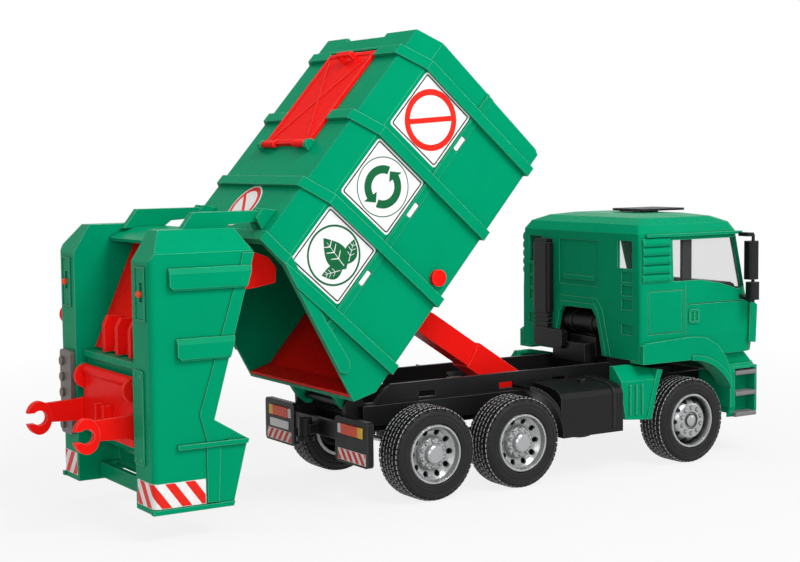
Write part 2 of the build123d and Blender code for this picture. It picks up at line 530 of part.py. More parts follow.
# Inside of the cab: floor with the engine tunnel, seats, dash, middle posts and steering wheel
deep = CAB_HALF - CAB_WALL - SEAT - 1
lining = hull([(x0 + SEAT, x1 - SEAT, w - SEAT, rf, rr, z) for x0, x1, w, rf, rr, z in room])
floor = block(CAB_REAR + 3, CAB_FRONT - 14, -deep, deep, CAB_LOW + 4, CAB_LOW + 6.4) & lining
floor += block(CAB_REAR + 3, along(0.625), -34, 34, CAB_LOW + 4, up(0.427))
floor -= block(CAB_REAR, along(0.625) - 2.4, -31.6, 31.6, CAB_LOW, up(0.427) - 2.4)
seat = rounded(block(along(0.266), along(0.531), 36, 64, CAB_LOW + 5, up(0.354)), 4, Axis.Y)
seat += rounded(block(along(0.219), along(0.297), 36, 64, up(0.3125), up(0.65)), 4, Axis.Y)
post = block(along(0.375), along(0.445), deep - 6, deep - 2.8, CAB_LOW + 5, CAB_GUTTER - 5)
floor += both(seat + post)
floor += slab([(along(0.766), CAB_LOW + 5), (along(0.88), CAB_LOW + 5), (along(0.88), up(0.458)), (along(0.797), up(0.5)),
               (along(0.719), up(0.4375)), (along(0.734), up(0.3125))], -62, 62)
wheel = Pos(along(0.695), 48, up(0.5)) * Rot(0, -55, 0) * (Torus(10, 1.3) + Cylinder(3, 2) + Box(20, 2.4, 1.6))
wheel += Pos(along(0.719), 48, up(0.479)) * Rot(0, -55, 0) * Cylinder(1.6, 12)
floor += wheel
parts["cab_interior"] = floor

# Clear panes just inside the openings
pane = [(along(0.234), up(0.583)), (along(0.234), up(0.969)), (along(0.8), up(0.969)), (along(0.872), up(0.604)),
        (along(0.876), up(0.5)), (along(0.78), up(0.49)), (along(0.648), up(0.542)), (along(0.477), up(0.583))]
side_pane = slab(pane, CAB_HALF - 11.5, CAB_HALF + 2) & lining
side_pane -= hull([(x0 - 9, x1 - 1.5, w - SEAT - 1.2, rf, rr, z) for x0, x1, w, rf, rr, z in room])
glass = both(side_pane)
glass += both(block(CAB_REAR + CAB_WALL + SEAT, CAB_REAR + CAB_WALL + SEAT + 1.2, 45, 66, up(0.703), up(0.964)))
screen = block(CAB_FRONT - 50, CAB_FRONT, -62, 62, up(0.495), up(0.984))
screen &= hull([(x0, x1 - 0.3, w - 0.3, rf, rr, z) for x0, x1, w, rf, rr, z in room])
screen -= hull([(x0, x1 - 1.5, w + 9, rf, rr, z) for x0, x1, w, rf, rr, z in room])
glass += screen
parts["cab_glazing"] = glass

# Front grille, mirrors, roof plate and intake stack ride on the cab
grille = block(CAB_FRONT + SEAT, CAB_FRONT + 2, -42, 42, up(0.083), up(0.3125))
for i in range(4):
    low = 0.105 + 0.05 * i
    grille -= block(CAB_FRONT + 1, CAB_FRONT + 3, -38, 38, up(low), up(low + 0.028))
parts["front_grille"] = grille
MIRROR_Y = CAB_HALF + 12
MIRROR_IN = MIRROR_Y - 5
MIRROR_OUT = MIRROR_Y + 3
mirror = rounded(block(along(0.766), along(0.844), MIRROR_IN, MIRROR_OUT, up(0.604), up(0.917)), 2, Axis.Z)
mirror += rounded(block(along(0.781), along(0.852), MIRROR_IN, MIRROR_OUT, up(0.4375), up(0.583)), 2, Axis.Z)
mirror += rod_z(along(0.82), MIRROR_Y - 1, 1.3, up(0.417), up(0.969))
upper_arm = [(CAB_HALF + 0.9, up(0.953)), (MIRROR_Y, up(0.953)), (MIRROR_Y, up(0.984)), (CAB_HALF + 0.9, up(0.984))]
mirror += bar(upper_arm, along(0.773), along(0.82))
lower_arm = [(CAB_HALF + SEAT, up(0.448)), (MIRROR_Y, up(0.417)), (MIRROR_Y, up(0.443)), (CAB_HALF + SEAT, up(0.474))]
mirror += bar(lower_arm, along(0.789), along(0.828))
parts["mirrors"] = both(mirror)
roof = rounded(block(along(0.38), along(0.75), -19, 19, CAB_TOP + 1.2, CAB_TOP + 3), 4, Axis.Z)
roof += both(block(along(0.42), along(0.55), 10, 14, CAB_TOP + SEAT, CAB_TOP + 2))
parts["roof_plate"] = roof
STACK_X = CAB_REAR - 7.8
stack = rounded(block(STACK_X, CAB_REAR - SEAT, 30, 50, up(0.3125), up(0.896)), 3, Axis.Z)
stack += block(STACK_X + 1, CAB_REAR - SEAT, 33, 47, up(0.885), up(0.927))
BELLOWS = 6
bellow_step = (up(0.3125) - CAB_LOW - 8.5) / BELLOWS
for i in range(BELLOWS):
    low = CAB_LOW + 8.5 + bellow_step * i
    stack += block(STACK_X + 0.5, CAB_REAR - 1.8, 31, 49, low, low + 0.55 * bellow_step)
stack += block(STACK_X + 1.5, CAB_REAR - 1.9, 32, 48, CAB_LOW + 4, up(0.32))
stack += rounded(block(STACK_X, CAB_REAR - 1.8, 12, 48, CAB_LOW + 2.5, CAB_LOW + 17), 3, Axis.X)
parts["intake_stack"] = stack

# Box, built in its own frame and then tipped up
low_half = BOX_HALF - 1


def box_section(out, up, lower):
    top = BOX_TOP + up
    w = BOX_HALF + out
    cut = BOX_SHOULDER + 0.6 * (out + up)
    return [(-w, lower), (w, lower), (w, top - cut), (w - cut, top), (cut - w, top), (-w, top - cut)]


RIBS = [REAR_LOW_U + 34.7, 106.8, 165.7, 224.0]
FLOOR_CUT = 15.0
side_line = [(REAR_LOW_U, REAR_LOW_V), (REAR_LOW_U + FLOOR_CUT, BOX_LOW), (BOX_FRONT - 2, BOX_LOW),
             (BOX_FRONT, BOX_LOW + 4), (BOX_FRONT + 3, BOX_TOP + 6), (box_rear(BOX_TOP + 6), BOX_TOP + 6)]
long_side = slab(side_line, -100, 100)
skin = bar(box_section(0, 0, BOX_SEAM), 0, BOX_FRONT + 6)
skin += bar([(-low_half, BOX_LOW), (low_half, BOX_LOW), (low_half, BOX_SEAM + 1), (-low_half, BOX_SEAM + 1)],
            0, BOX_FRONT + 6)
skin += bar([(-BOX_HALF - 1, BOX_SEAM + 5), (BOX_HALF + 1, BOX_SEAM + 5), (BOX_HALF + 1, BOX_SEAM + 6.8),
             (-BOX_HALF - 1, BOX_SEAM + 6.8)], 0, BOX_FRONT + 2)
skin &= long_side
rib_line = [(REAR_LOW_U, REAR_LOW_V), (REAR_LOW_U + FLOOR_CUT, BOX_LOW - 1.2), (BOX_FRONT, BOX_LOW - 1.2),
            (BOX_FRONT + 3, BOX_TOP + 6), (box_rear(BOX_TOP + 6), BOX_TOP + 6)]
ribs = Part()
for u in RIBS:
    ribs += bar(box_section(RIB_OUT, RIB_UP, BOX_LOW - 1.2), u - RIB_W / 2, u + RIB_W / 2)
HOOK_V = 116.0
top_v = BOX_TOP + 6
edge_band = slab([(box_rear(HOOK_V + 4), HOOK_V + 4), (box_rear(top_v), top_v), (box_rear(top_v) + 7, top_v),
                  (box_rear(HOOK_V + 34) + 8, HOOK_V + 34), (box_rear(HOOK_V + 9) + 10, HOOK_V + 9),
                  (box_rear(HOOK_V + 4) + 10, HOOK_V + 3.5), (box_rear(HOOK_V) + 8, HOOK_V),
                  (box_rear(HOOK_V) + 4, HOOK_V)], -100, 100)
edge_band &= bar(box_section(1.8, 1.4, BOX_LOW + 4), 0, 100)
skin += (ribs & slab(rib_line, -100, 100)) + edge_band
skin -= both(block(BOX_FRONT + 3.5, BOX_FRONT + 10, 0, 100, 0, 300))
load = [(-low_half + BOX_WALL, BOX_LOW + BOX_WALL), (low_half - BOX_WALL, BOX_LOW + BOX_WALL),
        (low_half - BOX_WALL, BOX_TOP - BOX_SHOULDER - 2), (BOX_HALF - BOX_SHOULDER - 1.8, BOX_TOP - BOX_WALL),
        (BOX_SHOULDER + 1.8 - BOX_HALF, BOX_TOP - BOX_WALL), (BOX_WALL - low_half, BOX_TOP - BOX_SHOULDER - 2)]
inside = slab([(-20, BOX_TOP + 10), (-20, REAR_LOW_V + 25), (REAR_LOW_U + FLOOR_CUT + 1.2, BOX_LOW + BOX_WALL - 0.1),
               (BOX_FRONT - BOX_WALL, BOX_LOW + BOX_WALL - 0.1), (BOX_FRONT - BOX_WALL, BOX_TOP + 10)], -100, 100)
skin -= bar(load, -20, BOX_FRONT - BOX_WALL) & inside
HATCH_U0 = HATCH_HINGE_U - 2
HATCH_U1 = HATCH_HINGE_U + HATCH_LONG
skin -= block(HATCH_U0 - 4, HATCH_U1 + 2, -HATCH_HALF - 1, HATCH_HALF + 1, BOX_TOP, BOX_TOP + 10)
skin -= block(HATCH_U0 + 10, HATCH_U1 - 5, -HATCH_HALF + 5, HATCH_HALF - 5, BOX_TOP - 10, BOX_TOP + 10)
ear = slab([(HATCH_HINGE_U - 4.4, BOX_TOP - 1), (HATCH_HINGE_U + 4.4, BOX_TOP - 1), (HATCH_HINGE_U + 3.4, HATCH_HINGE_V + 1.4),
            (HATCH_HINGE_U + 1.8, HATCH_HINGE_V + 2.9), (HATCH_HINGE_U - 1.8, HATCH_HINGE_V + 2.9),
            (HATCH_HINGE_U - 3.4, HATCH_HINGE_V + 1.4)], HATCH_HALF + 0.6, HATCH_HALF + 4.6)
ear += rod_y(HATCH_HINGE_U, HATCH_HINGE_V, HATCH_PIN, HATCH_HALF - 6, HATCH_HALF + 2)
skin += both(ear)
gate_ear = slab([(HINGE_U - 8, BOX_TOP - 1), (HINGE_U + 10, BOX_TOP - 1), (HINGE_U + 4, HINGE_V + 4),
                 (HINGE_U - 4, HINGE_V + 4)], HINGE_Y - 6.5, HINGE_Y - 3.5)
gate_ear += slab([(HINGE_U - 8, BOX_TOP - 1), (HINGE_U + 10, BOX_TOP - 1), (HINGE_U + 4, HINGE_V + 4),
                  (HINGE_U - 4, HINGE_V + 4)], HINGE_Y + 3.5, HINGE_Y + 6.5)
gate_ear += rod_y(HINGE_U, HINGE_V, 1.8, HINGE_Y - 6, HINGE_Y + 6)
skin += both(gate_ear)
a = math.radians(TIP_ANGLE)
PIVOT_U = PIVOT_X * math.cos(a) + PIVOT_Z * math.sin(a)
PIVOT_V = -PIVOT_X * math.sin(a) + PIVOT_Z * math.cos(a)
lug = slab([(PIVOT_U - 6, PIVOT_V - 3), (PIVOT_U - 3, PIVOT_V - 6), (PIVOT_U + 3, PIVOT_V - 6), (PIVOT_U + 8, PIVOT_V),
            (PIVOT_U + 26, BOX_LOW + 1), (PIVOT_U + 6, BOX_LOW + 1), (PIVOT_U - 2, BOX_LOW + 7), (PIVOT_U - 6, PIVOT_V + 6)],
           RAIL_OUT - RAIL_T - 5, RAIL_OUT - RAIL_T - 1)
lug -= rod_y(PIVOT_U, PIVOT_V, PIN_R + FIT, 0, RAIL_OUT)
skin += both(lug)
ram_lug = slab([(RAM_PIN_U - 14, BOX_LOW + 1), (RAM_PIN_U - 6, RAM_PIN_V - 4), (RAM_PIN_U + 5, RAM_PIN_V - 4),
                (RAM_PIN_U + 14, BOX_LOW + 1)], RAM_ROD_W / 2 + 0.8, RAM_ROD_W / 2 + 4)
skin += both(ram_lug)
for u in [83.0, 141.5, 200.5]:
    skin -= both(block(u - 6, u + 6, BOX_HALF - 0.8, BOX_HALF + 5, BOX_SEAM + 0.5, BOX_SEAM + 4.7))
skin -= block(BOX_FRONT - 0.4, BOX_FRONT + 10, -22, 31, BOX_TOP - 6, BOX_TOP + 10)
parts["box_shell"] = raised(skin)
DISC_U = 119.0
DISC_V = 99.4
disc = rod_y(DISC_U, DISC_V, 5.8, low_half + SEAT, BOX_HALF + 2.4)
parts["box_discs"] = raised(both(disc))
PLATE_V = BOX_LOW + 4.8
eject = strip([(REAR_LOW_U + 2.2, REAR_LOW_V + 4.1), (REAR_LOW_U + 16.5, PLATE_V), (BOX_FRONT - 60, PLATE_V),
               (BOX_FRONT - 12, BOX_TOP - 45), (BOX_FRONT - 12, BOX_TOP - 20)], 1.9, 0, low_half - BOX_WALL - SEAT)
parts["ejector_plate"] = raised(both(eject))

# Roof hatch with a raised cross and a pull handle
lid = block(HATCH_U0 + 2.5, HATCH_U1, -HATCH_HALF, HATCH_HALF, BOX_TOP + SEAT, BOX_TOP + 2.6)
mid_u = (HATCH_U0 + HATCH_U1) / 2
diag = math.degrees(math.atan2(2 * HATCH_HALF - 8, HATCH_LONG - 8))
for turn in (diag, -diag):
    arm = Pos(mid_u, 0, BOX_TOP + 2.7) * Rot(0, 0, turn) * Box(math.hypot(2 * HATCH_HALF - 10, HATCH_LONG - 10), 1.8, 0.9)
    lid += arm
rim_in = block(HATCH_U0 + 6, HATCH_U1 - 3, -HATCH_HALF + 3, HATCH_HALF - 3, BOX_TOP + 2, BOX_TOP + 6)
lid += block(HATCH_U0 + 2.5, HATCH_U1, -HATCH_HALF, HATCH_HALF, BOX_TOP + 2, BOX_TOP + 3.2) - rim_in
lid += both(rod_y(HATCH_HINGE_U, HATCH_HINGE_V, HATCH_PIN + 1.1, 14, HATCH_HALF))
lid += both(block(HATCH_HINGE_U - 0.4, HATCH_HINGE_U + 3, 14, HATCH_HALF, BOX_TOP + 1, HATCH_HINGE_V + 1.2))
lid -= both(rod_y(HATCH_HINGE_U, HATCH_HINGE_V, HATCH_PIN + FIT, HATCH_HALF - 7, HATCH_HALF + 2))
lid += block(HATCH_U1 - 7, HATCH_U1 - 3.5, -10, 10, BOX_TOP + 6, BOX_TOP + 8.4)
lid += both(block(HATCH_U1 - 7, HATCH_U1 - 3.5, 7.5, 10, BOX_TOP + 2, BOX_TOP + 8.4))
parts["roof_hatch"] = raised(lid)

# Tailgate: two hollow side housings joined by the trough, the deck and the sill
front_low = opened_point(box_rear(REAR_LOW_V) - GATE_GAP, REAR_LOW_V)
front_high = opened_point(box_rear(200.0) - GATE_GAP, 200.0)
toe_tip = opened_point(REAR_LOW_U + 21, BOX_LOW - 6)
gate_line = [
    (GATE_REAR, GATE_LOW), (GATE_REAR, GATE_TOP - 19), (GATE_REAR + 12, GATE_TOP), (front_high[0] - 7, GATE_TOP),
    front_high, front_low, toe_tip, (GATE_REAR + 54, GATE_LOW)]
house = slab(gate_line, LEG_IN, GATE_HALF)
bevel = bar([(GATE_HALF - 15, GATE_TOP + 1), (GATE_HALF + 1, GATE_TOP - 15), (GATE_HALF + 1, GATE_TOP + 1)],
            GATE_REAR - 5, 0)
house -= bevel
house = rounded(house, 4, Axis.Z, lambda c: c.X < GATE_REAR + 1 and c.Y > GATE_HALF - 1)
t = GATE_WALL
hollow_line = [
    (GATE_REAR + t, GATE_LOW - 1), (GATE_REAR + t, GATE_TOP - 20), (GATE_REAR + 13.5, GATE_TOP - t),
    (front_high[0] - 8, GATE_TOP - t), (front_high[0] - t, front_high[1]), (front_high[0] + 6, front_high[1] - 4),
    (front_low[0] + 6, front_low[1] + 2), (toe_tip[0] - 2, toe_tip[1] - t), (toe_tip[0] + 6, toe_tip[1] - 8),
    (GATE_REAR + 62, GATE_LOW - 1)]
hollow = slab(hollow_line, LEG_IN + t, GATE_HALF - t)
hollow -= bar([(GATE_HALF - 15 - 3.4, GATE_TOP + 1), (GATE_HALF + 1, GATE_TOP - 15 - 4.4), (GATE_HALF + 1, GATE_TOP + 1)],
              GATE_REAR - 5, 0)
house -= hollow
house -= slab([(GATE_REAR + 30, GATE_LOW - 2), (GATE_REAR + 30, 74), (front_low[0] - 2, front_low[1] + 4),
               (0, front_low[1] + 4), (0, GATE_LOW - 2)], LEG_IN - 1, LEG_IN + t + 0.2)
for z, x0 in [(157, GATE_REAR + 12), (113, GATE_REAR + 16.5)]:
    rib = bar([(GATE_HALF - 1, z), (GATE_HALF + 2.4, z), (GATE_HALF + 3.4, z + 1.4), (GATE_HALF + 3.4, z + 10.5),
               (GATE_HALF + 1.6, z + 14), (GATE_HALF - 1, z + 14)], x0, front_high[0] + 10)
    rib -= slab([(x0 - 1, z - 1), (x0 + 4, z - 1), (x0 - 1, z + 4)], 0, 100)
    house += rib & slab(gate_line, 0, 100)
ledge = block(GATE_REAR + 16, toe_tip[0] + 4, GATE_HALF - 1, GATE_HALF + 2.2, 57.5, 60.5)
house += ledge & slab(gate_line, 0, 100)
band = slab([(front_high[0] - 8, GATE_TOP - 15), front_high, front_low, (toe_tip[0] - 8, toe_tip[1] + 5),
             (GATE_REAR + 46, 60), (GATE_REAR + 44, GATE_LOW + 4), (GATE_REAR + 36, GATE_LOW + 4), (GATE_REAR + 36, 62),
             (front_low[0] - 10, front_low[1] + 4), (front_high[0] - 10, front_high[1] - 8)], GATE_HALF - 1, GATE_HALF + 0.8)
house += band & slab(gate_line, 0, 100)
house += slab([(GATE_REAR - 1, GATE_LOW), (GATE_REAR + 54, GATE_LOW), (GATE_REAR + 55, GATE_LOW + 3), (GATE_REAR - 1, GATE_LOW + 3)],
              GATE_HALF - 3, GATE_HALF + 1)
house += block(GATE_REAR - 0.9, GATE_REAR + 1, 56, 71, 138, 172) - block(GATE_REAR - 2, GATE_REAR - 0.4, 57, 70, 139, 171)
house -= block(GATE_REAR - 2, GATE_REAR + 1.4, 61.5, 66.5, 150, 162)
gate = both(house)
SILL_TOP = 108.8
SILL_REAR = LIFT_X + 1.5
PLATE_LOW = (-194.1, SILL_TOP + 0.7)
PLATE_HIGH = (-160.5, 188.0)
trough = [(-200.6, SILL_TOP - 3.8), (-196.5, 62.0), (-190.0, 46.0), (-183.5, 42.0), (-180.0, 48.0), (-176.0, 66.0), (-170.0, 82.0)]
gate += strip(trough, 2.4, -LEG_IN - 0.5, LEG_IN + 0.5)
gate += block(SILL_REAR, SILL_REAR + 11, -LEG_IN - 0.5, LEG_IN + 0.5, SILL_TOP - 4.2, SILL_TOP)
gate += strip([(-184, GATE_TOP - 9), (-168, GATE_TOP - 2), (front_high[0] - 7, GATE_TOP - 2)], 2.4, -LEG_IN - 0.5, LEG_IN + 0.5)
STEP_REAR = GATE_REAR + 15
low_bar = block(STEP_REAR, STEP_REAR + 4, -LEG_IN - 0.5, LEG_IN + 0.5, GATE_LOW + 2, GATE_LOW + 12)
low_bar += block(STEP_REAR, STEP_REAR + 15, -LEG_IN - 0.5, LEG_IN + 0.5, GATE_LOW + 9, GATE_LOW + 12)
low_bar -= block(STEP_REAR + 4, STEP_REAR + 11, -LEG_IN + 6, LEG_IN - 6, 0, 60)
gate += low_bar
arm_top = HINGE_Z + 4
arm = slab([(-176, GATE_TOP - 3), (-166, arm_top), (HINGE_X - 3, arm_top), (HINGE_X + 3.4, HINGE_Z + 1.6), (HINGE_X + 3.4, HINGE_Z - 1.6),
            (HINGE_X - 3, HINGE_Z - 3.2), (HINGE_X - 24, HINGE_Z - 4.6), (front_high[0] - 9, GATE_TOP - 3.5)], HINGE_Y - 3, HINGE_Y + 3)
arm -= rod_y(HINGE_X, HINGE_Z, 1.8 + FIT, 0, 100)
gate += both(arm)
lug = slab([(LIFT_X + 4, LIFT_Z - 4.2), (LIFT_X, LIFT_Z - 4.2), (LIFT_X - 4.2, LIFT_Z), (LIFT_X, LIFT_Z + 4.2),
            (LIFT_X + 8, LIFT_Z + 4.2), (LIFT_X + 9, LIFT_Z - 1)],
           LEG_IN - 1.2, LEG_IN + 1)
lug += rod_y(LIFT_X, LIFT_Z, 2.0, LEG_IN - 7, LEG_IN + 1)
gate += both(lug)
parts["tailgate_shell"] = gate

# Red insert in the tailgate: the sloping hopper plate with fins and the packer front
hopper = strip([PLATE_HIGH, PLATE_LOW], 2.2, -LEG_IN + 0.4, LEG_IN - 0.4)
nose = [(-162.4, 187.4), (-152, 183), (-146.5, 168), (-149.5, 156), (-152, 157), (-149.5, 168), (-154, 180), (-164, 184)]
hopper += slab(nose, -LEG_IN + 0.4, LEG_IN - 0.4)
hopper += strip([(-156, 184.5), (-144, 183), (-128, 178.5), (-113, 173), (-107.5, 166), (-108, 156)], 2.2, -LEG_IN + 0.4, LEG_IN - 0.4)
cheek = [(-156, 184.5), (-144, 183), (-128, 178.5), (-113, 173), (-107.5, 166), (-108, 156), (-122, 153.5), (-146, 151), (-150, 160)]
hopper += both(slab(cheek, LEG_IN - 2.8, LEG_IN - 0.4))
for y in [-22.0, 0.0, 22.0]:
    hopper += slab([(-195, SILL_TOP + 1), (-201, SILL_TOP + 1), (-201, 128), (-198, 134), (-184, 134)], y - 2, y + 2)
parts["hopper_insert"] = hopper
bulb = Part() + Pos(GATE_REAR - 1.2, 64, 155) * Sphere(2.3)
parts["tailgate_bulbs"] = both(bulb)
right = rounded(block(GATE_REAR - 1.2, GATE_REAR - SEAT, LEG_IN + 1, LEG_IN + 16, 47, 107), 2, Axis.X)
parts["cover_strip"] = other_side(right)
left = rounded(block(GATE_REAR - 3.5, GATE_REAR - SEAT, LEG_IN + 2, LEG_IN + 22, 50, 108), 3, Axis.X)
for i in range(5):
    left += rod_x(LEG_IN + 17, 56 + 11 * i, 3, GATE_REAR - 5.2, GATE_REAR - 2)
parts["control_strip"] = left
parts["side_knob"] = rod_y(GATE_REAR + 8, 130.5, 7, GATE_HALF + SEAT, GATE_HALF + 5)

# Bin lift: flap with end discs, two arms with open hooks
flap = block(LIFT_X - 1.6, LIFT_X + 1.4, -LEG_IN + 8, LEG_IN - 8, 55, LIFT_Z)
flap += rod_y(LIFT_X, LIFT_Z, 3.6, -LEG_IN + 8, LEG_IN - 8)
DISC_R = 8.2
flap += both(rod_y(LIFT_X, LIFT_Z - 4.5, DISC_R, LEG_IN - 9.5, LEG_IN - 6.5))
flap -= block(LIFT_X + 2.4, LIFT_X + 20, -60, 60, 0, 200)
flap -= block(LIFT_X - 30, LIFT_X + 20, -60, 60, LIFT_Z + 4.4, 200)
flap += both(block(LIFT_X - 8, LIFT_X, 5, 8, 62, 78))
flap += block(LIFT_X - 8, LIFT_X, -8, 8, 62, 65)
arms = slab([(LIFT_X + 2, HOOK_Z - 7), (LIFT_X + 2, HOOK_Z + 12), (LIFT_X - 6, HOOK_Z + 10.5), (HOOK_X + 5, HOOK_Z + 9.5),
             (HOOK_X + 5, HOOK_Z - 3.5), (LIFT_X - 6, HOOK_Z - 4.5)], ARM_Y - 3, ARM_Y)
oval = [(HOOK_X + HOOK_LONG * math.cos(math.pi * i / 18), HOOK_Z + HOOK_OUT * math.sin(math.pi * i / 18)) for i in range(36)]
ring = slab(oval, ARM_Y - 4.5, ARM_Y + 0.5) - rod_y(HOOK_X, HOOK_Z, HOOK_IN, 0, 100)
ring -= block(HOOK_X - 20, HOOK_X, 0, 100, HOOK_Z - HOOK_GAP / 2, HOOK_Z + HOOK_GAP / 2)
arms -= rod_y(HOOK_X, HOOK_Z, HOOK_IN, 0, 100)
flap += both(arms + ring)
flap -= both(rod_y(LIFT_X, LIFT_Z, 2.0 + FIT, LEG_IN - 8, 100))
parts["bin_lift"] = flap

# Ram: a barrel on the frame and a rod that pushes the box up
ram_end = raised_point(RAM_PIN_U, RAM_PIN_V)
RAM_LONG = math.hypot(ram_end[0] - RAM_X, ram_end[1] - RAM_Z)
RAM_TURN = math.degrees(math.atan2(ram_end[1] - RAM_Z, ram_end[0] - RAM_X))


def ram_place(shape):
    """From a frame with X along the ram to its place on the truck."""
    return Pos(RAM_X, 0, RAM_Z) * Rot(0, -RAM_TURN, 0) * shape


barrel = block(-5, BARREL_LONG, -BARREL_W / 2, BARREL_W / 2, -BARREL_H / 2, BARREL_H / 2)
barrel = rounded(barrel, 4.5, Axis.Y, lambda c: c.X < 0)
barrel -= block(6, BARREL_LONG + 1, -RAM_ROD_W / 2 - FIT, RAM_ROD_W / 2 + FIT, -RAM_ROD_H / 2 - FIT, RAM_ROD_H / 2 + FIT)
barrel -= rod_y(0, 0, PIN_R + FIT, -50, 50)
parts["ram_barrel"] = ram_place(barrel)
neck = RAM_LONG - 36
push = block(BARREL_LONG - ROD_GRIP, neck, -RAM_ROD_W / 2, RAM_ROD_W / 2, -RAM_ROD_H / 2, RAM_ROD_H / 2)
push += slab([(neck, -RAM_ROD_H / 2), (RAM_LONG, -ROD_END_R), (RAM_LONG, ROD_END_R), (neck, RAM_ROD_H / 2)], -RAM_ROD_W / 2, RAM_ROD_W / 2)
push += rod_y(RAM_LONG, 0, ROD_END_R, -RAM_ROD_W / 2, RAM_ROD_W / 2)
push -= rod_y(RAM_LONG, 0, PIN_R + FIT, -50, 50)
parts["ram_rod"] = ram_place(push)

# The origin goes to the middle of the overall length, on the ground
tips = [p for p in zip(oval, oval[1:]) if p[0][1] >= HOOK_Z + HOOK_GAP / 2 > p[1][1]]
(x0, z0), (x1, z1) = tips[0]
HOOK_TIP = x0 + (x1 - x0) * (HOOK_Z + HOOK_GAP / 2 - z0) / (z1 - z0)
ORIGIN_X = (BUMPER_FRONT + HOOK_TIP) / 2
if __name__ == "__main__":
    os.makedirs("parts", exist_ok=True)
    for name, shape in parts.items():
        moved = Pos(-ORIGIN_X, 0, 0) * shape
        export_step(moved, f"parts/{name}.step")
        size = moved.bounding_box()
        print(name, len(moved.solids()), round(moved.volume / 1000, 1),
              [round(v, 1) for v in (size.min.X, size.max.X, size.min.Y, size.max.Y, size.min.Z, size.max.Z)])
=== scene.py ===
import bmesh
import bpy
import math
from mathutils import Matrix, Vector


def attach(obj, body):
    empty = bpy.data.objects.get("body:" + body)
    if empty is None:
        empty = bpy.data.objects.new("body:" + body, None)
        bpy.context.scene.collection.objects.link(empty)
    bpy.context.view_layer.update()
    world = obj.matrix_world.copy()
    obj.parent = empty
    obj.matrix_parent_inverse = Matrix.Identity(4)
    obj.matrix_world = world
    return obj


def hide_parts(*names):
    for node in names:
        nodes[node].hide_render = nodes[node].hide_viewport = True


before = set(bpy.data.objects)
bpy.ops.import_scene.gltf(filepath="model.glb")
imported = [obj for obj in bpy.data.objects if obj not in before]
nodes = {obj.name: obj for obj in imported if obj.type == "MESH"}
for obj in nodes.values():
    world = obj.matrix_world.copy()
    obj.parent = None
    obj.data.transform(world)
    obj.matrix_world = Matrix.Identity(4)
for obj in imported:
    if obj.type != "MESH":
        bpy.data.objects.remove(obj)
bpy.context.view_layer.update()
scene = bpy.context.scene

# Lengths of the truck are millimetres from the rear axle, as in the part's source, and at() makes them metres
MM = 0.001
ORIGIN_X = 34.932
TIP = math.radians(49.0)
SIDES = {"left": 1, "right": -1}

# Sizes that the pieces here share with the solids
TYRE_R = 33.0
TYRE_HALF = 13.0
RIM_R = 21.0
WHEEL_MID = 65.0
AXLES = {"rear": 0.0, "middle": 75.0, "front": 237.0}
BOX_SIDE = 76.0
BOX_ROOF = 214.5
GATE_REAR = -210.0
GATE_SIDE = 78.0
PANEL_X = -53.0
CAB_REAR = AXLES["front"] - 49.0
BUMPER_FRONT = AXLES["front"] + 81.0


def at(x, y, z):
    """A point of the truck, from millimetres to Blender's metres."""
    return Vector(((x - ORIGIN_X) * MM, y * MM, z * MM))


def tipped(u, y, v):
    """A point of the box, along its floor, across it and up from it."""
    return at(u * math.cos(TIP) - v * math.sin(TIP), y, u * math.sin(TIP) + v * math.cos(TIP))


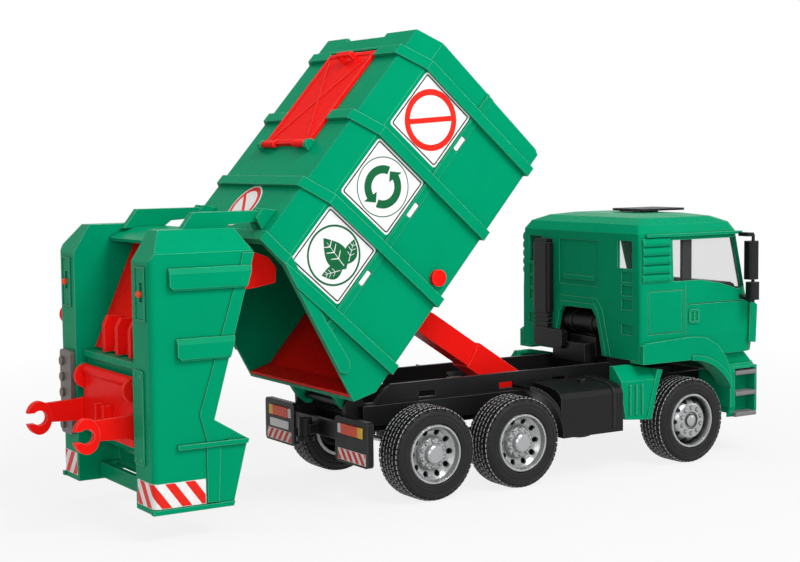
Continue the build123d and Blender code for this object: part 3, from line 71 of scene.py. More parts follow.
# Shapes: an outline is a list of (a, b) points, and place(a, b, c) puts a point of it on the truck
class Build:
    """Gathers faces of several materials into one piece."""

    def __init__(self):
        self.verts = []
        self.faces = []
        self.mats = []
        self.smooth = []

    def add(self, points, faces, mats=0, smooth=False):
        """Faces over the points, with one material number for all of them or a list with one for each."""
        base = len(self.verts)
        self.verts += [tuple(p) for p in points]
        self.faces += [[base + i for i in face] for face in faces]
        self.mats += [mats] * len(faces) if isinstance(mats, int) else mats
        self.smooth += [smooth] * len(faces)

    def prism(self, outline, place, low, high, mat=0, shrink=0.0):
        """An outline raised from low to high, with its top drawn in by a share of its size."""
        n = len(outline)
        ca = sum(p[0] for p in outline) / n
        cb = sum(p[1] for p in outline) / n
        top = [(a - (a - ca) * shrink, b - (b - cb) * shrink) for a, b in outline]
        points = [place(a, b, low) for a, b in outline] + [place(a, b, high) for a, b in top]
        sides = [(i, (i + 1) % n, n + (i + 1) % n, n + i) for i in range(n)]
        self.add(points, [tuple(range(n))[::-1], tuple(range(n, 2 * n))] + sides, mat)

    def ring(self, outer, inner, place, low, high, mat=0):
        """The band between two outlines with as many points each."""
        n = len(outer)
        points = [place(a, b, c) for line in (outer, inner) for c in (low, high) for a, b in line]
        faces = []
        for i in range(n):
            j = (i + 1) % n
            faces += [(n + i, n + j, 3 * n + j, 3 * n + i), (i, 2 * n + i, 2 * n + j, j),
                      (i, j, n + j, n + i), (2 * n + i, 3 * n + i, 3 * n + j, 2 * n + j)]
        self.add(points, faces, mat)

    def spun(self, profile, place, count, mat=0):
        """A closed profile of (radius, height) points turned about the axis along c."""
        points = []
        for i in range(count):
            t = 2 * math.pi * i / count
            points += [place(r * math.cos(t), r * math.sin(t), h) for r, h in profile]
        m = len(profile)
        faces = []
        for i in range(count):
            j = (i + 1) % count
            for k in range(m):
                n = (k + 1) % m
                faces.append((i * m + k, j * m + k, j * m + n, i * m + n))
        self.add(points, faces, mat, smooth=True)

    def done(self, name, body, materials, replaces=()):
        """Makes the piece, which rides on a body of the frame."""
        mesh = bpy.data.meshes.new(name)
        mesh.from_pydata(self.verts, [], self.faces)
        for material in materials:
            mesh.materials.append(material)
        for poly, mat, smooth in zip(mesh.polygons, self.mats, self.smooth):
            poly.material_index = mat
            poly.use_smooth = smooth
        mesh.update()
        face_outward(mesh)
        piece = bpy.data.objects.new(name, mesh)
        scene.collection.objects.link(piece)
        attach(piece, body)
        if replaces:
            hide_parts(*replaces)


def face_outward(mesh):
    work = bmesh.new()
    work.from_mesh(mesh)
    bmesh.ops.recalc_face_normals(work, faces=work.faces)
    work.to_mesh(mesh)
    work.free()


def circle(r, count, ca, cb):
    turns = [2 * math.pi * i / count for i in range(count)]
    return [(ca + r * math.cos(t), cb + r * math.sin(t)) for t in turns]


CORNERS = [(-1, -1), (1, -1), (1, 1), (-1, 1)]
CORNER_STEPS = 5


def square(a0, a1, b0, b1, r):
    """A rectangle with rounded corners."""
    corners = [(a1 - r, b1 - r, 0), (a0 + r, b1 - r, 90), (a0 + r, b0 + r, 180), (a1 - r, b0 + r, 270)]
    points = []
    for ca, cb, start in corners:
        for i in range(CORNER_STEPS + 1):
            t = math.radians(start + 90 * i / CORNER_STEPS)
            points.append((ca + r * math.cos(t), cb + r * math.sin(t)))
    return points


def clipped(poly, axis, limit, keep_above):
    """The part of a convex outline on one side of a line."""
    out = []
    for i, p in enumerate(poly):
        q = poly[(i + 1) % len(poly)]
        p_in = (p[axis] >= limit) == keep_above or p[axis] == limit
        q_in = (q[axis] >= limit) == keep_above or q[axis] == limit
        if p_in:
            out.append(p)
        if p_in != q_in:
            f = (limit - p[axis]) / (q[axis] - p[axis])
            out.append((p[0] + f * (q[0] - p[0]), p[1] + f * (q[1] - p[1])))
    return out


# Nodes that the materials share
def new_material(name):
    material = bpy.data.materials.new(name)
    material.use_nodes = True
    tree = material.node_tree
    return material, tree, tree.nodes["Principled BSDF"]


def add_node(tree, kind, inputs=None, **settings):
    node = tree.nodes.new(kind)
    for key, value in settings.items():
        setattr(node, key, value)
    for key, value in (inputs or {}).items():
        node.inputs[key].default_value = value
    return node


def link(tree, source, output, target, socket):
    tree.links.new(source.outputs[output], target.inputs[socket])


def ramp(tree, source, output, stops):
    """A colour ramp over an output of another node."""
    node = tree.nodes.new("ShaderNodeValToRGB")
    line = node.color_ramp
    while len(line.elements) < len(stops):
        line.elements.new(0.5)
    for element, (place, value) in zip(line.elements, stops):
        element.position = place
        element.color = (*value, 1.0)
    link(tree, source, output, node, "Fac")
    return node


def mapped(tree, source, output, before, after):
    """An output of another node, taken from one span of values to another."""
    limits = dict(zip(("From Min", "From Max", "To Min", "To Max"), (*before, *after)))
    node = add_node(tree, "ShaderNodeMapRange", limits)
    link(tree, source, output, node, "Value")
    return node


def noise(tree, coords, scale, detail, roughness=0.5):
    node = add_node(tree, "ShaderNodeTexNoise", {"Scale": scale, "Detail": detail, "Roughness": roughness})
    link(tree, coords, "Object", node, "Vector")
    return node


def bumped(tree, height, strength, distance, shader):
    """A bump of the shader's surface, as high as a node's Fac output."""
    bump = add_node(tree, "ShaderNodeBump", {"Strength": strength, "Distance": distance})
    link(tree, height, "Fac", bump, "Height")
    link(tree, bump, "Normal", shader, "Normal")
    return bump


def set_gloss(shader, roughness, specular):
    shader.inputs["Roughness"].default_value = roughness
    shader.inputs["Specular IOR Level"].default_value = specular


def shade(color, factor):
    return tuple(min(c * factor, 1.0) for c in color)


def even(value):
    return (value, value, value)


# Materials, with distances in metres
MOTTLE = 0.04
SOFT_EDGE = 0.0006
GRAIN_HIGH = 0.0004
RIB_HIGH = 0.0005


def plastic(name, color, rough, edge_highlight, grain=900.0, depth=0.05, specular=0.02, metallic=0.0,
            groove=0.30, deep=0.0014):
    """Moulded plastic: a fine grain, faint flow marks in colour and gloss, a painted highlight on the outer
    edges and painted shade in the grooves.

    groove is what is left of the colour under the painted shade in a groove, and deep is how far off its
    walls count.
    """
    material, tree, shader = new_material(name)
    coords = add_node(tree, "ShaderNodeTexCoord")
    flow = noise(tree, coords, 26.0, 4.0, 0.55)
    tint = ramp(tree, flow, "Fac", [(0.3, shade(color, 1 - MOTTLE)), (0.7, shade(color, 1 + MOTTLE))])

    bevel = add_node(tree, "ShaderNodeBevel", {"Radius": SOFT_EDGE}, samples=4)
    facing = add_node(tree, "ShaderNodeNewGeometry")
    dot = add_node(tree, "ShaderNodeVectorMath", operation="DOT_PRODUCT")
    link(tree, bevel, "Normal", dot, 0)
    link(tree, facing, "Normal", dot, 1)
    # Painted highlight: a paler colour on convex outer edges, found from the bevel normal and kept off
    # grooves
    highlight_edges = ramp(tree, dot, "Value", [(0.78, even(1)), (0.95, even(0))])
    hollow = add_node(tree, "ShaderNodeAmbientOcclusion", {"Distance": deep}, samples=6, only_local=True)
    outward = mapped(tree, hollow, "AO", (0.70, 0.92), (0.0, 1.0))
    painted_highlight = add_node(tree, "ShaderNodeMath", operation="MULTIPLY")
    link(tree, highlight_edges, "Color", painted_highlight, 0)
    link(tree, outward, "Result", painted_highlight, 1)
    mix = add_node(tree, "ShaderNodeMix", {7: (*edge_highlight, 1.0)}, data_type="RGBA")
    link(tree, painted_highlight, "Value", mix, 0)
    link(tree, tint, "Color", mix, 6)
    # Painted shade: the colour darkened in grooves and hollows, by ambient occlusion
    painted_groove_shade = ramp(tree, hollow, "AO", [(0.35, even(groove)), (0.85, even(1))])
    dark = add_node(tree, "ShaderNodeMix", {0: 1.0}, data_type="RGBA", blend_type="MULTIPLY")
    link(tree, mix, 2, dark, 6)
    link(tree, painted_groove_shade, "Color", dark, 7)
    link(tree, dark, 2, shader, "Base Color")

    scuff = noise(tree, coords, 70.0, 5.0, 0.6)
    gloss = mapped(tree, scuff, "Fac", (0.3, 0.7), (rough - 0.04, rough + 0.06))
    link(tree, gloss, "Result", shader, "Roughness")
    bump = bumped(tree, noise(tree, coords, grain, 2.0), depth, GRAIN_HIGH, shader)
    link(tree, bevel, "Normal", bump, "Normal")
    shader.inputs["Specular IOR Level"].default_value = specular
    shader.inputs["Metallic"].default_value = metallic
    return material


def clear_plastic(name, color, alpha):
    """A thin clear pane with a faint haze."""
    material, tree, shader = new_material(name)
    haze = noise(tree, add_node(tree, "ShaderNodeTexCoord"), 60.0, 3.0)
    tint = ramp(tree, haze, "Fac", [(0.35, shade(color, 0.94)), (0.65, color)])
    link(tree, tint, "Color", shader, "Base Color")
    set_gloss(shader, 0.06, 0.05)
    shader.inputs["Alpha"].default_value = alpha
    return material


def lamp_plastic(name, color):
    """A ribbed lens, its colour paler along the rib crests and darker in the hollows between them."""
    material, tree, shader = new_material(name)
    coords = add_node(tree, "ShaderNodeTexCoord")
    wave = add_node(tree, "ShaderNodeTexWave", {"Scale": 260.0, "Distortion": 0.0}, bands_direction="Z")
    link(tree, coords, "Object", wave, "Vector")
    tint = ramp(tree, wave, "Fac", [(0.0, shade(color, 0.72)), (1.0, shade(color, 1.1))])
    link(tree, tint, "Color", shader, "Base Color")
    bumped(tree, wave, 0.35, RIB_HIGH, shader)
    set_gloss(shader, 0.2, 0.15)
    return material


def rubber(name, color):
    """Dull rubber with a little dust."""
    material, tree, shader = new_material(name)
    coords = add_node(tree, "ShaderNodeTexCoord")
    dust = noise(tree, coords, 120.0, 6.0, 0.65)
    tint = ramp(tree, dust, "Fac", [(0.35, shade(color, 0.75)), (0.62, color), (0.8, shade(color, 1.7))])
    link(tree, tint, "Color", shader, "Base Color")
    bumped(tree, noise(tree, coords, 1400.0, 3.0), 0.12, GRAIN_HIGH, shader)
    set_gloss(shader, 0.5, 0.2)
    return material


def print_ink(name, color):
    """Printed sticker film, with the faint unevenness of ink."""
    material, tree, shader = new_material(name)
    ink = noise(tree, add_node(tree, "ShaderNodeTexCoord"), 400.0, 3.0)
    tint = ramp(tree, ink, "Fac", [(0.3, shade(color, 0.94)), (0.7, shade(color, 1.03))])
    link(tree, tint, "Color", shader, "Base Color")
    set_gloss(shader, 0.38, 0.12)
    return material


# Each plastic: colour, roughness, then the paler colour of its painted edge highlight; groove sets how dark
# its painted groove shade goes
GREEN = plastic("green_plastic", (0.0, 0.285, 0.132), 0.28, (0.30, 0.66, 0.48))
RED = plastic("red_plastic", (0.90, 0.010, 0.007), 0.28, (1.0, 0.26, 0.22), groove=0.60)
BLACK = plastic("black_plastic", (0.008, 0.008, 0.0085), 0.38, (0.15, 0.15, 0.155),
                grain=1200.0, depth=0.09, specular=0.18)
GREY = plastic("grey_plastic", (0.19, 0.19, 0.195), 0.45, (0.3, 0.3, 0.3),
               grain=1200.0, depth=0.1, specular=0.2)
TAUPE = plastic("taupe_plastic", (0.15, 0.13, 0.12), 0.4, (0.25, 0.23, 0.21), specular=0.2)
# Silver's painted shade reaches 5 mm from the walls and falls to 0.14 of its colour, darkening the dish's
# recess round the hub
SILVER = plastic("silver_plastic", (0.39, 0.395, 0.40), 0.26, (0.75, 0.75, 0.75),
                 grain=1500.0, depth=0.06, specular=0.5, metallic=0.55, groove=0.14, deep=0.005)
STEEL = plastic("steel_rod", (0.5, 0.5, 0.51), 0.28, (0.55, 0.55, 0.55),
                grain=1800.0, specular=0.5, metallic=0.9)
RUBBER = rubber("tyre_rubber", (0.014, 0.014, 0.0145))
# Pale rubber for the bevels of the tread blocks: a painted highlight standing in for glints
TREAD_HIGHLIGHT = rubber("painted_tread_highlight", (0.36, 0.36, 0.363))
GLASS = clear_plastic("clear_pane", (0.20, 0.205, 0.21), 0.085)
LENS_RED = lamp_plastic("red_lens", (1.0, 0.085, 0.022))
LENS_AMBER = lamp_plastic("amber_lens", (1.0, 0.56, 0.05))
LENS_CLEAR = lamp_plastic("clear_lens", (0.82, 0.83, 0.84))
WHITE_FILM = print_ink("white_film", (0.83, 0.83, 0.83))
RED_INK = print_ink("red_ink", (0.78, 0.022, 0.012))
DARK_INK = print_ink("dark_ink", (0.012, 0.014, 0.013))
GREEN_INK = print_ink("green_ink", (0.006, 0.125, 0.042))

# The solids and their materials
WHEELS = [(axle, side) for axle in AXLES for side in SIDES]
FINISH = [
    (GREEN, ["cab_shell", "cab_skirts", "front_bumper", "box_shell", "tailgate_shell", "cover_strip",
             "wheel_arches"]),
    (RED, ["ejector_plate", "roof_hatch", "hopper_insert", "box_discs", "side_knob", "bin_lift", "ram_barrel",
           "ram_rod"]),
    (BLACK, ["chassis_frame", "rear_lamp_beam", "tow_coupling", "side_tank_left", "side_tank_right",
             "engine_block", "cab_interior", "front_grille", "mirrors", "intake_stack", "roof_plate"]),
    (GREY, ["step_treads"]),
    (TAUPE, ["control_strip"]),
    (SILVER, [f"{axle}_rim_{side}" for axle, side in WHEELS]),
    (RUBBER, [f"{axle}_tyre_{side}" for axle, side in WHEELS]),
    (STEEL, [f"{axle}_axle" for axle in AXLES]),
    (LENS_RED, ["tail_lamps", "tailgate_bulbs"]),
    (LENS_AMBER, ["turn_lamps"]),
    (LENS_CLEAR, ["headlamps"]),
    (GLASS, ["cab_glazing"]),
]
for material, names in FINISH:
    for name in names:
        mesh = nodes[name].data
        mesh.materials.clear()
        mesh.materials.append(material)


def wheel_place(axle, side):
    """a runs along the truck and b up from the middle of a wheel, and c outward from its mid plane."""
    def place(a, b, c):
        return at(AXLES[axle] + a, SIDES[side] * (WHEEL_MID + c), TYRE_R + b)
    return place


# Tyres: a carcass with rings on the wall, six staggered rows of tread blocks, and lugs on the shoulders
CARCASS_STEPS = 96
TREAD_ROWS = 6
TREAD_COUNT = 54
TREAD_BASE = TYRE_R - 1.7
SHOULDER = 1.7
TREAD_ROW = (2 * TYRE_HALF - 2 * SHOULDER) / TREAD_ROWS
TREAD_PITCH = 2 * math.pi / TREAD_COUNT
TREAD_SKEW = 0.16 * TREAD_PITCH
# Drop of the outer rows towards the wall, times the square of the way past the next row
SHOULDER_DROP = 0.055
# A block's foot in shares of pitch and row, and the radius and spread of its root, shoulder and top
BLOCK_FOOT = [(-0.40, -0.44), (0.40, -0.44), (0.40, 0.44), (-0.40, 0.44)]
BLOCK_LEVELS = [(TREAD_BASE - 1.2, 1.06), (TYRE_R - 0.35, 1.0), (TYRE_R, 0.84)]
# A lug's line down the wall as radius and height, its half width in pitches and its depth about that line
LUG_LINE = [(TREAD_BASE + 0.5, TYRE_HALF - 2.6), (TREAD_BASE - 1.4, TYRE_HALF - 1.5),
            (TREAD_BASE - 3.2, TYRE_HALF - 0.95)]
LUG_PITCH, LUG_START = 2 * TREAD_PITCH, 0.25
LUG_HALF = 0.42
LUG_DEPTH = (-0.9, 0.45)
# The wall from the rim to the tread, as steps out from the rim and in from the widest place
WALL_STEPS = [(0.1, 1.5), (0.7, 0.5), (1.6, 0.1), (2.2, 0.4), (3.0, 0.1), (5.0, 0.0), (5.4, 0.35),
              (5.9, 0.05), (7.4, 0.35), (8.6, 0.9)]
WALL_TOP = [(TREAD_BASE - 1.0, TYRE_HALF - 1.7), (TREAD_BASE - 0.2, TYRE_HALF - 3.0)]


def tread_block(build, place, row, step):
    """One block, with a painted highlight in pale rubber on the bevels of the two sides that face across the
    tyre.
    """
    odd = row % 2
    mid = -TYRE_HALF + SHOULDER + TREAD_ROW * (row + 0.5)
    skew = TREAD_SKEW * (1 if odd else -1)
    points = []
    for r, spread in BLOCK_LEVELS:
        for a, b in BLOCK_FOOT:
            turn = TREAD_PITCH * (step + 0.5 * odd) + a * TREAD_PITCH * spread + skew * b * 2
            h = mid + b * TREAD_ROW * spread
            past = max(abs(h) - (TYRE_HALF - SHOULDER - TREAD_ROW), 0)
            out = r - SHOULDER_DROP * past ** 2
            points.append(place(out * math.cos(turn), out * math.sin(turn), h))
    ends = [(3, 2, 1, 0), (8, 9, 10, 11)]
    sides = [(n, (n + 1) % 4, 4 + (n + 1) % 4, 4 + n) for n in range(4)]
    bevels = [tuple(4 + i for i in face) for face in sides]
    build.add(points, ends + sides + bevels, [0, 0, 0, 0, 0, 0, 1, 0, 1, 0])


def shoulder_lug(build, place, way, step):
    """One lug on the outer or inner wall."""
    points = []
    for r, h in LUG_LINE:
        for a in (-LUG_HALF, LUG_HALF):
            for depth in LUG_DEPTH:
                turn = LUG_PITCH * (step + LUG_START) + a * TREAD_PITCH
                points.append(place(r * math.cos(turn), r * math.sin(turn), way * (h + depth)))
    faces = [(0, 1, 3, 2), (8, 10, 11, 9)]
    for n in (0, 4):
        faces += [(n, n + 4, n + 5, n + 1), (n + 2, n + 3, n + 7, n + 6), (n, n + 2, n + 6, n + 4),
                  (n + 1, n + 5, n + 7, n + 3)]
    build.add(points, faces)


def tyre(axle, side):
    place = wheel_place(axle, side)
    wall = [(RIM_R + up, TYRE_HALF - into) for up, into in WALL_STEPS] + WALL_TOP
    build = Build()
    build.spun(wall + [(r, -h) for r, h in reversed(wall)], place, CARCASS_STEPS)
    for row in range(TREAD_ROWS):
        for step in range(TREAD_COUNT):
            tread_block(build, place, row, step)
    for way in (1, -1):
        for step in range(TREAD_COUNT // 2):
            shoulder_lug(build, place, way, step)
    build.done(f"{axle}_tyre_{side}_treaded", f"{axle}_wheel_{side}", [RUBBER, TREAD_HIGHLIGHT],
               [f"{axle}_tyre_{side}"])


# Rims: nuts, painted slot shade and drums, with heights from the middle of the wheel
NUT_COUNT = 10
FRONT_SEAT, FRONT_NUTS_R = 11.4, 9.9
REAR_SEAT, REAR_NUTS_R = 8.4, 9.0
NUT_SUNK = 0.6
RING_R, RING_TOP, RING_STEPS = 1.75, 0.2, 16
WASHER_R, WASHER_TOP, WASHER_STEPS = 1.35, 0.35, 12
NUT_R, NUT_TOP, NUT_TAPER, NUT_FLATS = 0.95, 1.3, 0.12, 6
# Radius and height of the drums' outlines
DRUM_STEPS = 48
FRONT_DRUM = [(9.0, -5.0), (9.0, 3.5), (14.0, 3.5), (17.8, -0.6), (17.8, -5.0)]
REAR_DRUM = [(8.5, -4.0), (8.5, 0.2), (11.5, 1.0), (15.5, 2.2), (17.9, 3.2), (17.9, -4.0)]
# The cone of a front rim as radius and height, and dark faces on it that paint the shade of its slots
CONE_TOP, CONE_FOOT = (13.2, 11.0), (16.8, 7.2)
SLOT_COUNT = 10
SLOT_MID, SLOT_END, SLOT_HALF = 15.5, 16.7, 1.9
SLOT_LOW, SLOT_TOP = -0.6, 0.3
SLOT_BENDS = 8


def slot_shades(build, place):
    """Dark faces with a round inner end, laid on the cone of a front rim as painted shade for the openings of
    its slots.
    """
    slope = (CONE_FOOT[1] - CONE_TOP[1]) / (CONE_FOOT[0] - CONE_TOP[0])

    def on_cone(a, b, c):
        return place(a, b, CONE_TOP[1] + slope * (math.hypot(a, b) - CONE_TOP[0]) + c)

    bend = [math.pi * (0.5 + k / SLOT_BENDS) for k in range(SLOT_BENDS + 1)]
    outline = [(SLOT_END, SLOT_HALF)]
    outline += [(SLOT_MID + SLOT_HALF * math.cos(f), SLOT_HALF * math.sin(f)) for f in bend]
    outline += [(SLOT_END, -SLOT_HALF)]
    for i in range(SLOT_COUNT):
        t = 2 * math.pi * i / SLOT_COUNT
        turned = [(r * math.cos(t) - w * math.sin(t), r * math.sin(t) + w * math.cos(t)) for r, w in outline]
        build.prism(turned, on_cone, SLOT_LOW, SLOT_TOP, 1)


def wheel_nuts(axle, side):
    """Nuts on the hub flange, each in a dark ring, and the dark drum that shows through the rim's holes."""
    place = wheel_place(axle, side)
    front = axle == "front"
    seat, r = (FRONT_SEAT, FRONT_NUTS_R) if front else (REAR_SEAT, REAR_NUTS_R)
    build = Build()
    for i in range(NUT_COUNT):
        t = 2 * math.pi * (i + 0.5) / NUT_COUNT
        a, b = r * math.cos(t), r * math.sin(t)
        build.prism(circle(RING_R, RING_STEPS, a, b), place, seat - NUT_SUNK, seat + RING_TOP, 1)
        build.prism(circle(WASHER_R, WASHER_STEPS, a, b), place, seat - NUT_SUNK, seat + WASHER_TOP)
        build.prism(circle(NUT_R, NUT_FLATS, a, b), place, seat, seat + NUT_TOP, 0, NUT_TAPER)
    if front:
        slot_shades(build, place)
    build.spun(FRONT_DRUM if front else REAR_DRUM, place, DRUM_STEPS, 1)
    build.done(f"{axle}_wheel_nuts_{side}", f"{axle}_wheel_{side}", [SILVER, BLACK])


for axle, side in WHEELS:
    tyre(axle, side)
    wheel_nuts(axle, side)


# Red and white warning stripes, with heights over the surface that they lie on
STRIPE_FILM = (-0.1, 0.17)
STRIPE_BAR = (0.05, 0.22)
STRIPE_EDGE = 0.25


def stripes(build, a_span, b_span, place, lean, pitch, breaks=()):
    """A white film with slanting red bars, in flat stretches between the breaks."""
    (a0, a1), (b0, b1) = a_span, b_span
    cuts = [a0, *breaks, a1]
    stretches = list(zip(cuts, cuts[1:]))
    for c0, c1 in stretches:
        build.prism([(c0, b0), (c1, b0), (c1, b1), (c0, b1)], place, *STRIPE_FILM, 0)
    slant = lean * (b1 - b0)
    start = a0 - abs(slant) - pitch
    while start < a1 + abs(slant):
        start += pitch
        stop = start + pitch * 0.5
        for c0, c1 in stretches:
            bar = [(start, b0), (stop, b0), (stop + slant, b1), (start + slant, b1)]
            limits = [(0, max(c0, a0 + STRIPE_EDGE), True), (0, min(c1, a1 - STRIPE_EDGE), False),
                      (1, b0 + STRIPE_EDGE, True), (1, b1 - STRIPE_EDGE, False)]
            for axis, limit, above in limits:
                bar = clipped(bar, axis, limit, above)
                if len(bar) < 3:
                    break
            if len(bar) >= 3:
                build.prism(bar, place, *STRIPE_BAR, 1)


# The legs of the gate: a flat rear, a round corner and a side
CORNER_R = 4.0
LEG_FLAT = 22.0
CORNER_LONG = CORNER_R * math.pi / 2
BEND_STEPS = 6


def round_leg(s):
    """a runs along the rear of a leg, round its corner and on along its side, and b runs up."""
    def place(a, b, c):
        if a <= LEG_FLAT:
            return at(GATE_REAR - c, s * (GATE_SIDE - CORNER_R - LEG_FLAT + a), b)
        if a >= LEG_FLAT + CORNER_LONG:
            return at(GATE_REAR + CORNER_R + a - LEG_FLAT - CORNER_LONG, s * (GATE_SIDE + c), b)
        t = (a - LEG_FLAT) / CORNER_R
        r = CORNER_R + c
        return at(GATE_REAR + CORNER_R - r * math.cos(t), s * (GATE_SIDE - CORNER_R + r * math.sin(t)), b)
    return place


def on_panel(s):
    """a runs out to one side and b up on the rear lamp panels."""
    return lambda a, b, c: at(PANEL_X - c, s * a, b)


LEG_STRIPES_A = (0.5, LEG_FLAT + CORNER_LONG + 31.0)
LEG_STRIPES_Z = (21.6, 37.4)
LEG_LEAN, LEG_PITCH = -0.75, 13.6
PANEL_STRIPES_Y = (34.0, 71.0)
PANEL_STRIPES_Z = (29.6, 37.6)
PANEL_LEAN, PANEL_PITCH = -0.8, 7.8
PLATE_Y, PLATE_Z, PLATE_R = (38.0, 66.0), (39.2, 45.2), 0.8
PLATE_LOW, PLATE_TOP = -0.3, 0.5

bends = [LEG_FLAT + CORNER_LONG * i / BEND_STEPS for i in range(BEND_STEPS + 1)]
for side, s in SIDES.items():
    build = Build()
    stripes(build, LEG_STRIPES_A, LEG_STRIPES_Z, round_leg(s), LEG_LEAN, LEG_PITCH, bends)
    build.done(f"gate_stripes_{side}", "tailgate", [WHITE_FILM, RED_INK])
    build = Build()
    stripes(build, PANEL_STRIPES_Y, PANEL_STRIPES_Z, on_panel(s), PANEL_LEAN, PANEL_PITCH)
    build.done(f"panel_stripes_{side}", "chassis", [WHITE_FILM, RED_INK])
build = Build()
build.prism(square(*PLATE_Y, *PLATE_Z, PLATE_R), on_panel(1), PLATE_LOW, PLATE_TOP)
build.done("blank_plate", "chassis", [WHITE_FILM])


# Stickers of the box: white squares with a dark line round them and plain motifs
INKS = [WHITE_FILM, DARK_INK, RED_INK, GREEN_INK]
INK_WHITE, INK_DARK, INK_RED, INK_GREEN = range(4)
# Heights over the surface
FILM_LOW, FILM_TOP = -0.2, 0.16
INK_LOW, LINE_TOP, BAR_TOP, RING_INK_TOP = 0.1, 0.22, 0.23, 0.24
FILM_CORNER = 2.2
LINE_OUTER, LINE_OUTER_CORNER = 1.2, 1.8
LINE_INNER, LINE_INNER_CORNER = 2.1, 1.0


def sticker_base(build, u0, u1, v0, v1, place):
    def inset(d, r):
        return square(u0 + d, u1 - d, v0 + d, v1 - d, r)

    build.prism(inset(0, FILM_CORNER), place, FILM_LOW, FILM_TOP, INK_WHITE)
    build.ring(inset(LINE_OUTER, LINE_OUTER_CORNER), inset(LINE_INNER, LINE_INNER_CORNER), place,
               INK_LOW, LINE_TOP, INK_DARK)


# Shares of the motif's radius
BAN_INNER, BAN_REACH, BAN_WIDE = 0.80, 0.84, 0.085
ARROW_INNER, HEAD_INNER, HEAD_OUTER, HEAD_TIP = 0.62, 0.40, 1.22, 0.81
# Turns in radians
BAN_TURN = math.radians(45)
ARROW_GAP, HEAD_LONG = 0.30, 0.52
BAN_STEPS, ARROW_STEPS = 64, 20


def ban_ring(build, ca, cb, r, place, turn):
    """A red ring with one slanting bar."""
    outer, inner = circle(r, BAN_STEPS, ca, cb), circle(r * BAN_INNER, BAN_STEPS, ca, cb)
    build.ring(outer, inner, place, INK_LOW, RING_INK_TOP, INK_RED)
    c, s = math.cos(turn), math.sin(turn)
    ends = [(i * r * BAN_REACH, j * r * BAN_WIDE) for i, j in CORNERS]
    bar = [(ca + p * c - q * s, cb + p * s + q * c) for p, q in ends]
    build.prism(bar, place, INK_LOW, BAR_TOP, INK_RED)


def loop_arrows(build, ca, cb, r, place):
    """Two bent arrows that chase each other round a circle."""
    def polar(share, t):
        return ca + r * share * math.cos(t), cb + r * share * math.sin(t)

    for k in range(2):
        start = math.pi * k + ARROW_GAP
        stop = math.pi * (k + 1) - ARROW_GAP
        turns = [start + (stop - start) * i / ARROW_STEPS for i in range(ARROW_STEPS + 1)]
        for t0, t1 in zip(turns, turns[1:]):
            build.prism([polar(ARROW_INNER, t0), polar(1, t0), polar(1, t1), polar(ARROW_INNER, t1)],
                        place, INK_LOW, BAR_TOP, INK_GREEN)
        head = [polar(HEAD_INNER, stop), polar(HEAD_OUTER, stop), polar(HEAD_TIP, stop + HEAD_LONG)]
        build.prism(head, place, INK_LOW, RING_INK_TOP, INK_GREEN)


# A leaf: shares of its length, half widths of its rib, and where its veins leave the rib
LEAF_STEPS = 14
LEAF_FULL, LEAF_POINT = 0.30, 0.8
RIB_START, RIB_END = 0.1, 0.86
RIB_HALF_START, RIB_HALF_END = 0.25, 0.1
VEINS = (0.32, 0.52, 0.7)
VEIN_WIDE, VEIN_LEAN, VEIN_LEAN_LOW, VEIN_OUT = 0.03, 0.15, 0.13, 0.17
RIB_LOW, VEIN_TOP, RIB_TOP = 0.2, 0.245, 0.25


def leaf(build, ca, cb, long, place, turn, lift):
    """One pointed leaf with a pale rib and veins."""
    c, s = math.cos(turn), math.sin(turn)

    def put(p, q):
        return ca + p * c - q * s, cb + p * s + q * c

    def rim(i, way):
        f = i / LEAF_STEPS
        return put(long * i / LEAF_STEPS, way * LEAF_FULL * long * math.sin(math.pi * f ** LEAF_POINT))

    upper = [rim(i, 1) for i in range(LEAF_STEPS + 1)]
    lower = [rim(i, -1) for i in range(1, LEAF_STEPS)]
    build.prism(upper + lower[::-1], place, INK_LOW, LINE_TOP + lift, INK_GREEN)
    rib = [put(RIB_START * long, -RIB_HALF_START), put(RIB_END * long, -RIB_HALF_END),
           put(RIB_END * long, RIB_HALF_END), put(RIB_START * long, RIB_HALF_START)]
    build.prism(rib, place, RIB_LOW, RIB_TOP + lift, INK_WHITE)
    for f in VEINS:
        for way in (1, -1):
            vein = [put(f * long, 0), put((f + VEIN_WIDE) * long, 0),
                    put((f + VEIN_LEAN) * long, way * VEIN_OUT * long),
                    put((f + VEIN_LEAN_LOW) * long, way * VEIN_OUT * long)]
            build.prism(vein[::way], place, RIB_LOW, VEIN_TOP + lift, INK_WHITE)


# Places on the box: u along its floor, v up its side
STICKER_U = [(56.5, 103.0), (115.0, 161.5), (174.0, 220.5)]
STICKER_V = (150.0, 197.0)
TAB_U = (83.0, 141.5, 200.5)
TAB_V = (143.4, 146.8)
TAB_HALF, TAB_CORNER = 5.4, 0.6
TAB_LOW, TAB_TOP = -0.75, -0.1
MOTIF_STEPS = 56
MOTIF_R, LEAF_RING_R, LOOP_RING_R = 20.3, 18.9, 19.6
LOOP_R, BAN_R = 14.5, 21.0
# Start from the middle of the sticker, length, turn in degrees and lift of each leaf
LEAVES = [(-1.0, -13.0, 27.0, 80, 0.10), (2.4, -12.0, 17.0, 24, 0.05), (-3.4, -11.0, 16.0, 142, 0.0)]
ROOF_U, ROOF_FILM_R, ROOF_BAN_R = 86.0, 17.5, 16.2


def on_box_side(s):
    return lambda a, b, c: tipped(a, s * (BOX_SIDE + c), b)


def on_box_roof(a, b, c):
    return tipped(a, b, BOX_ROOF + c)


def thin_ring(build, ca, cb, inner, place):
    line = [circle(r, MOTIF_STEPS, ca, cb) for r in (MOTIF_R, inner)]
    build.ring(*line, place, INK_LOW, LINE_TOP, INK_GREEN)


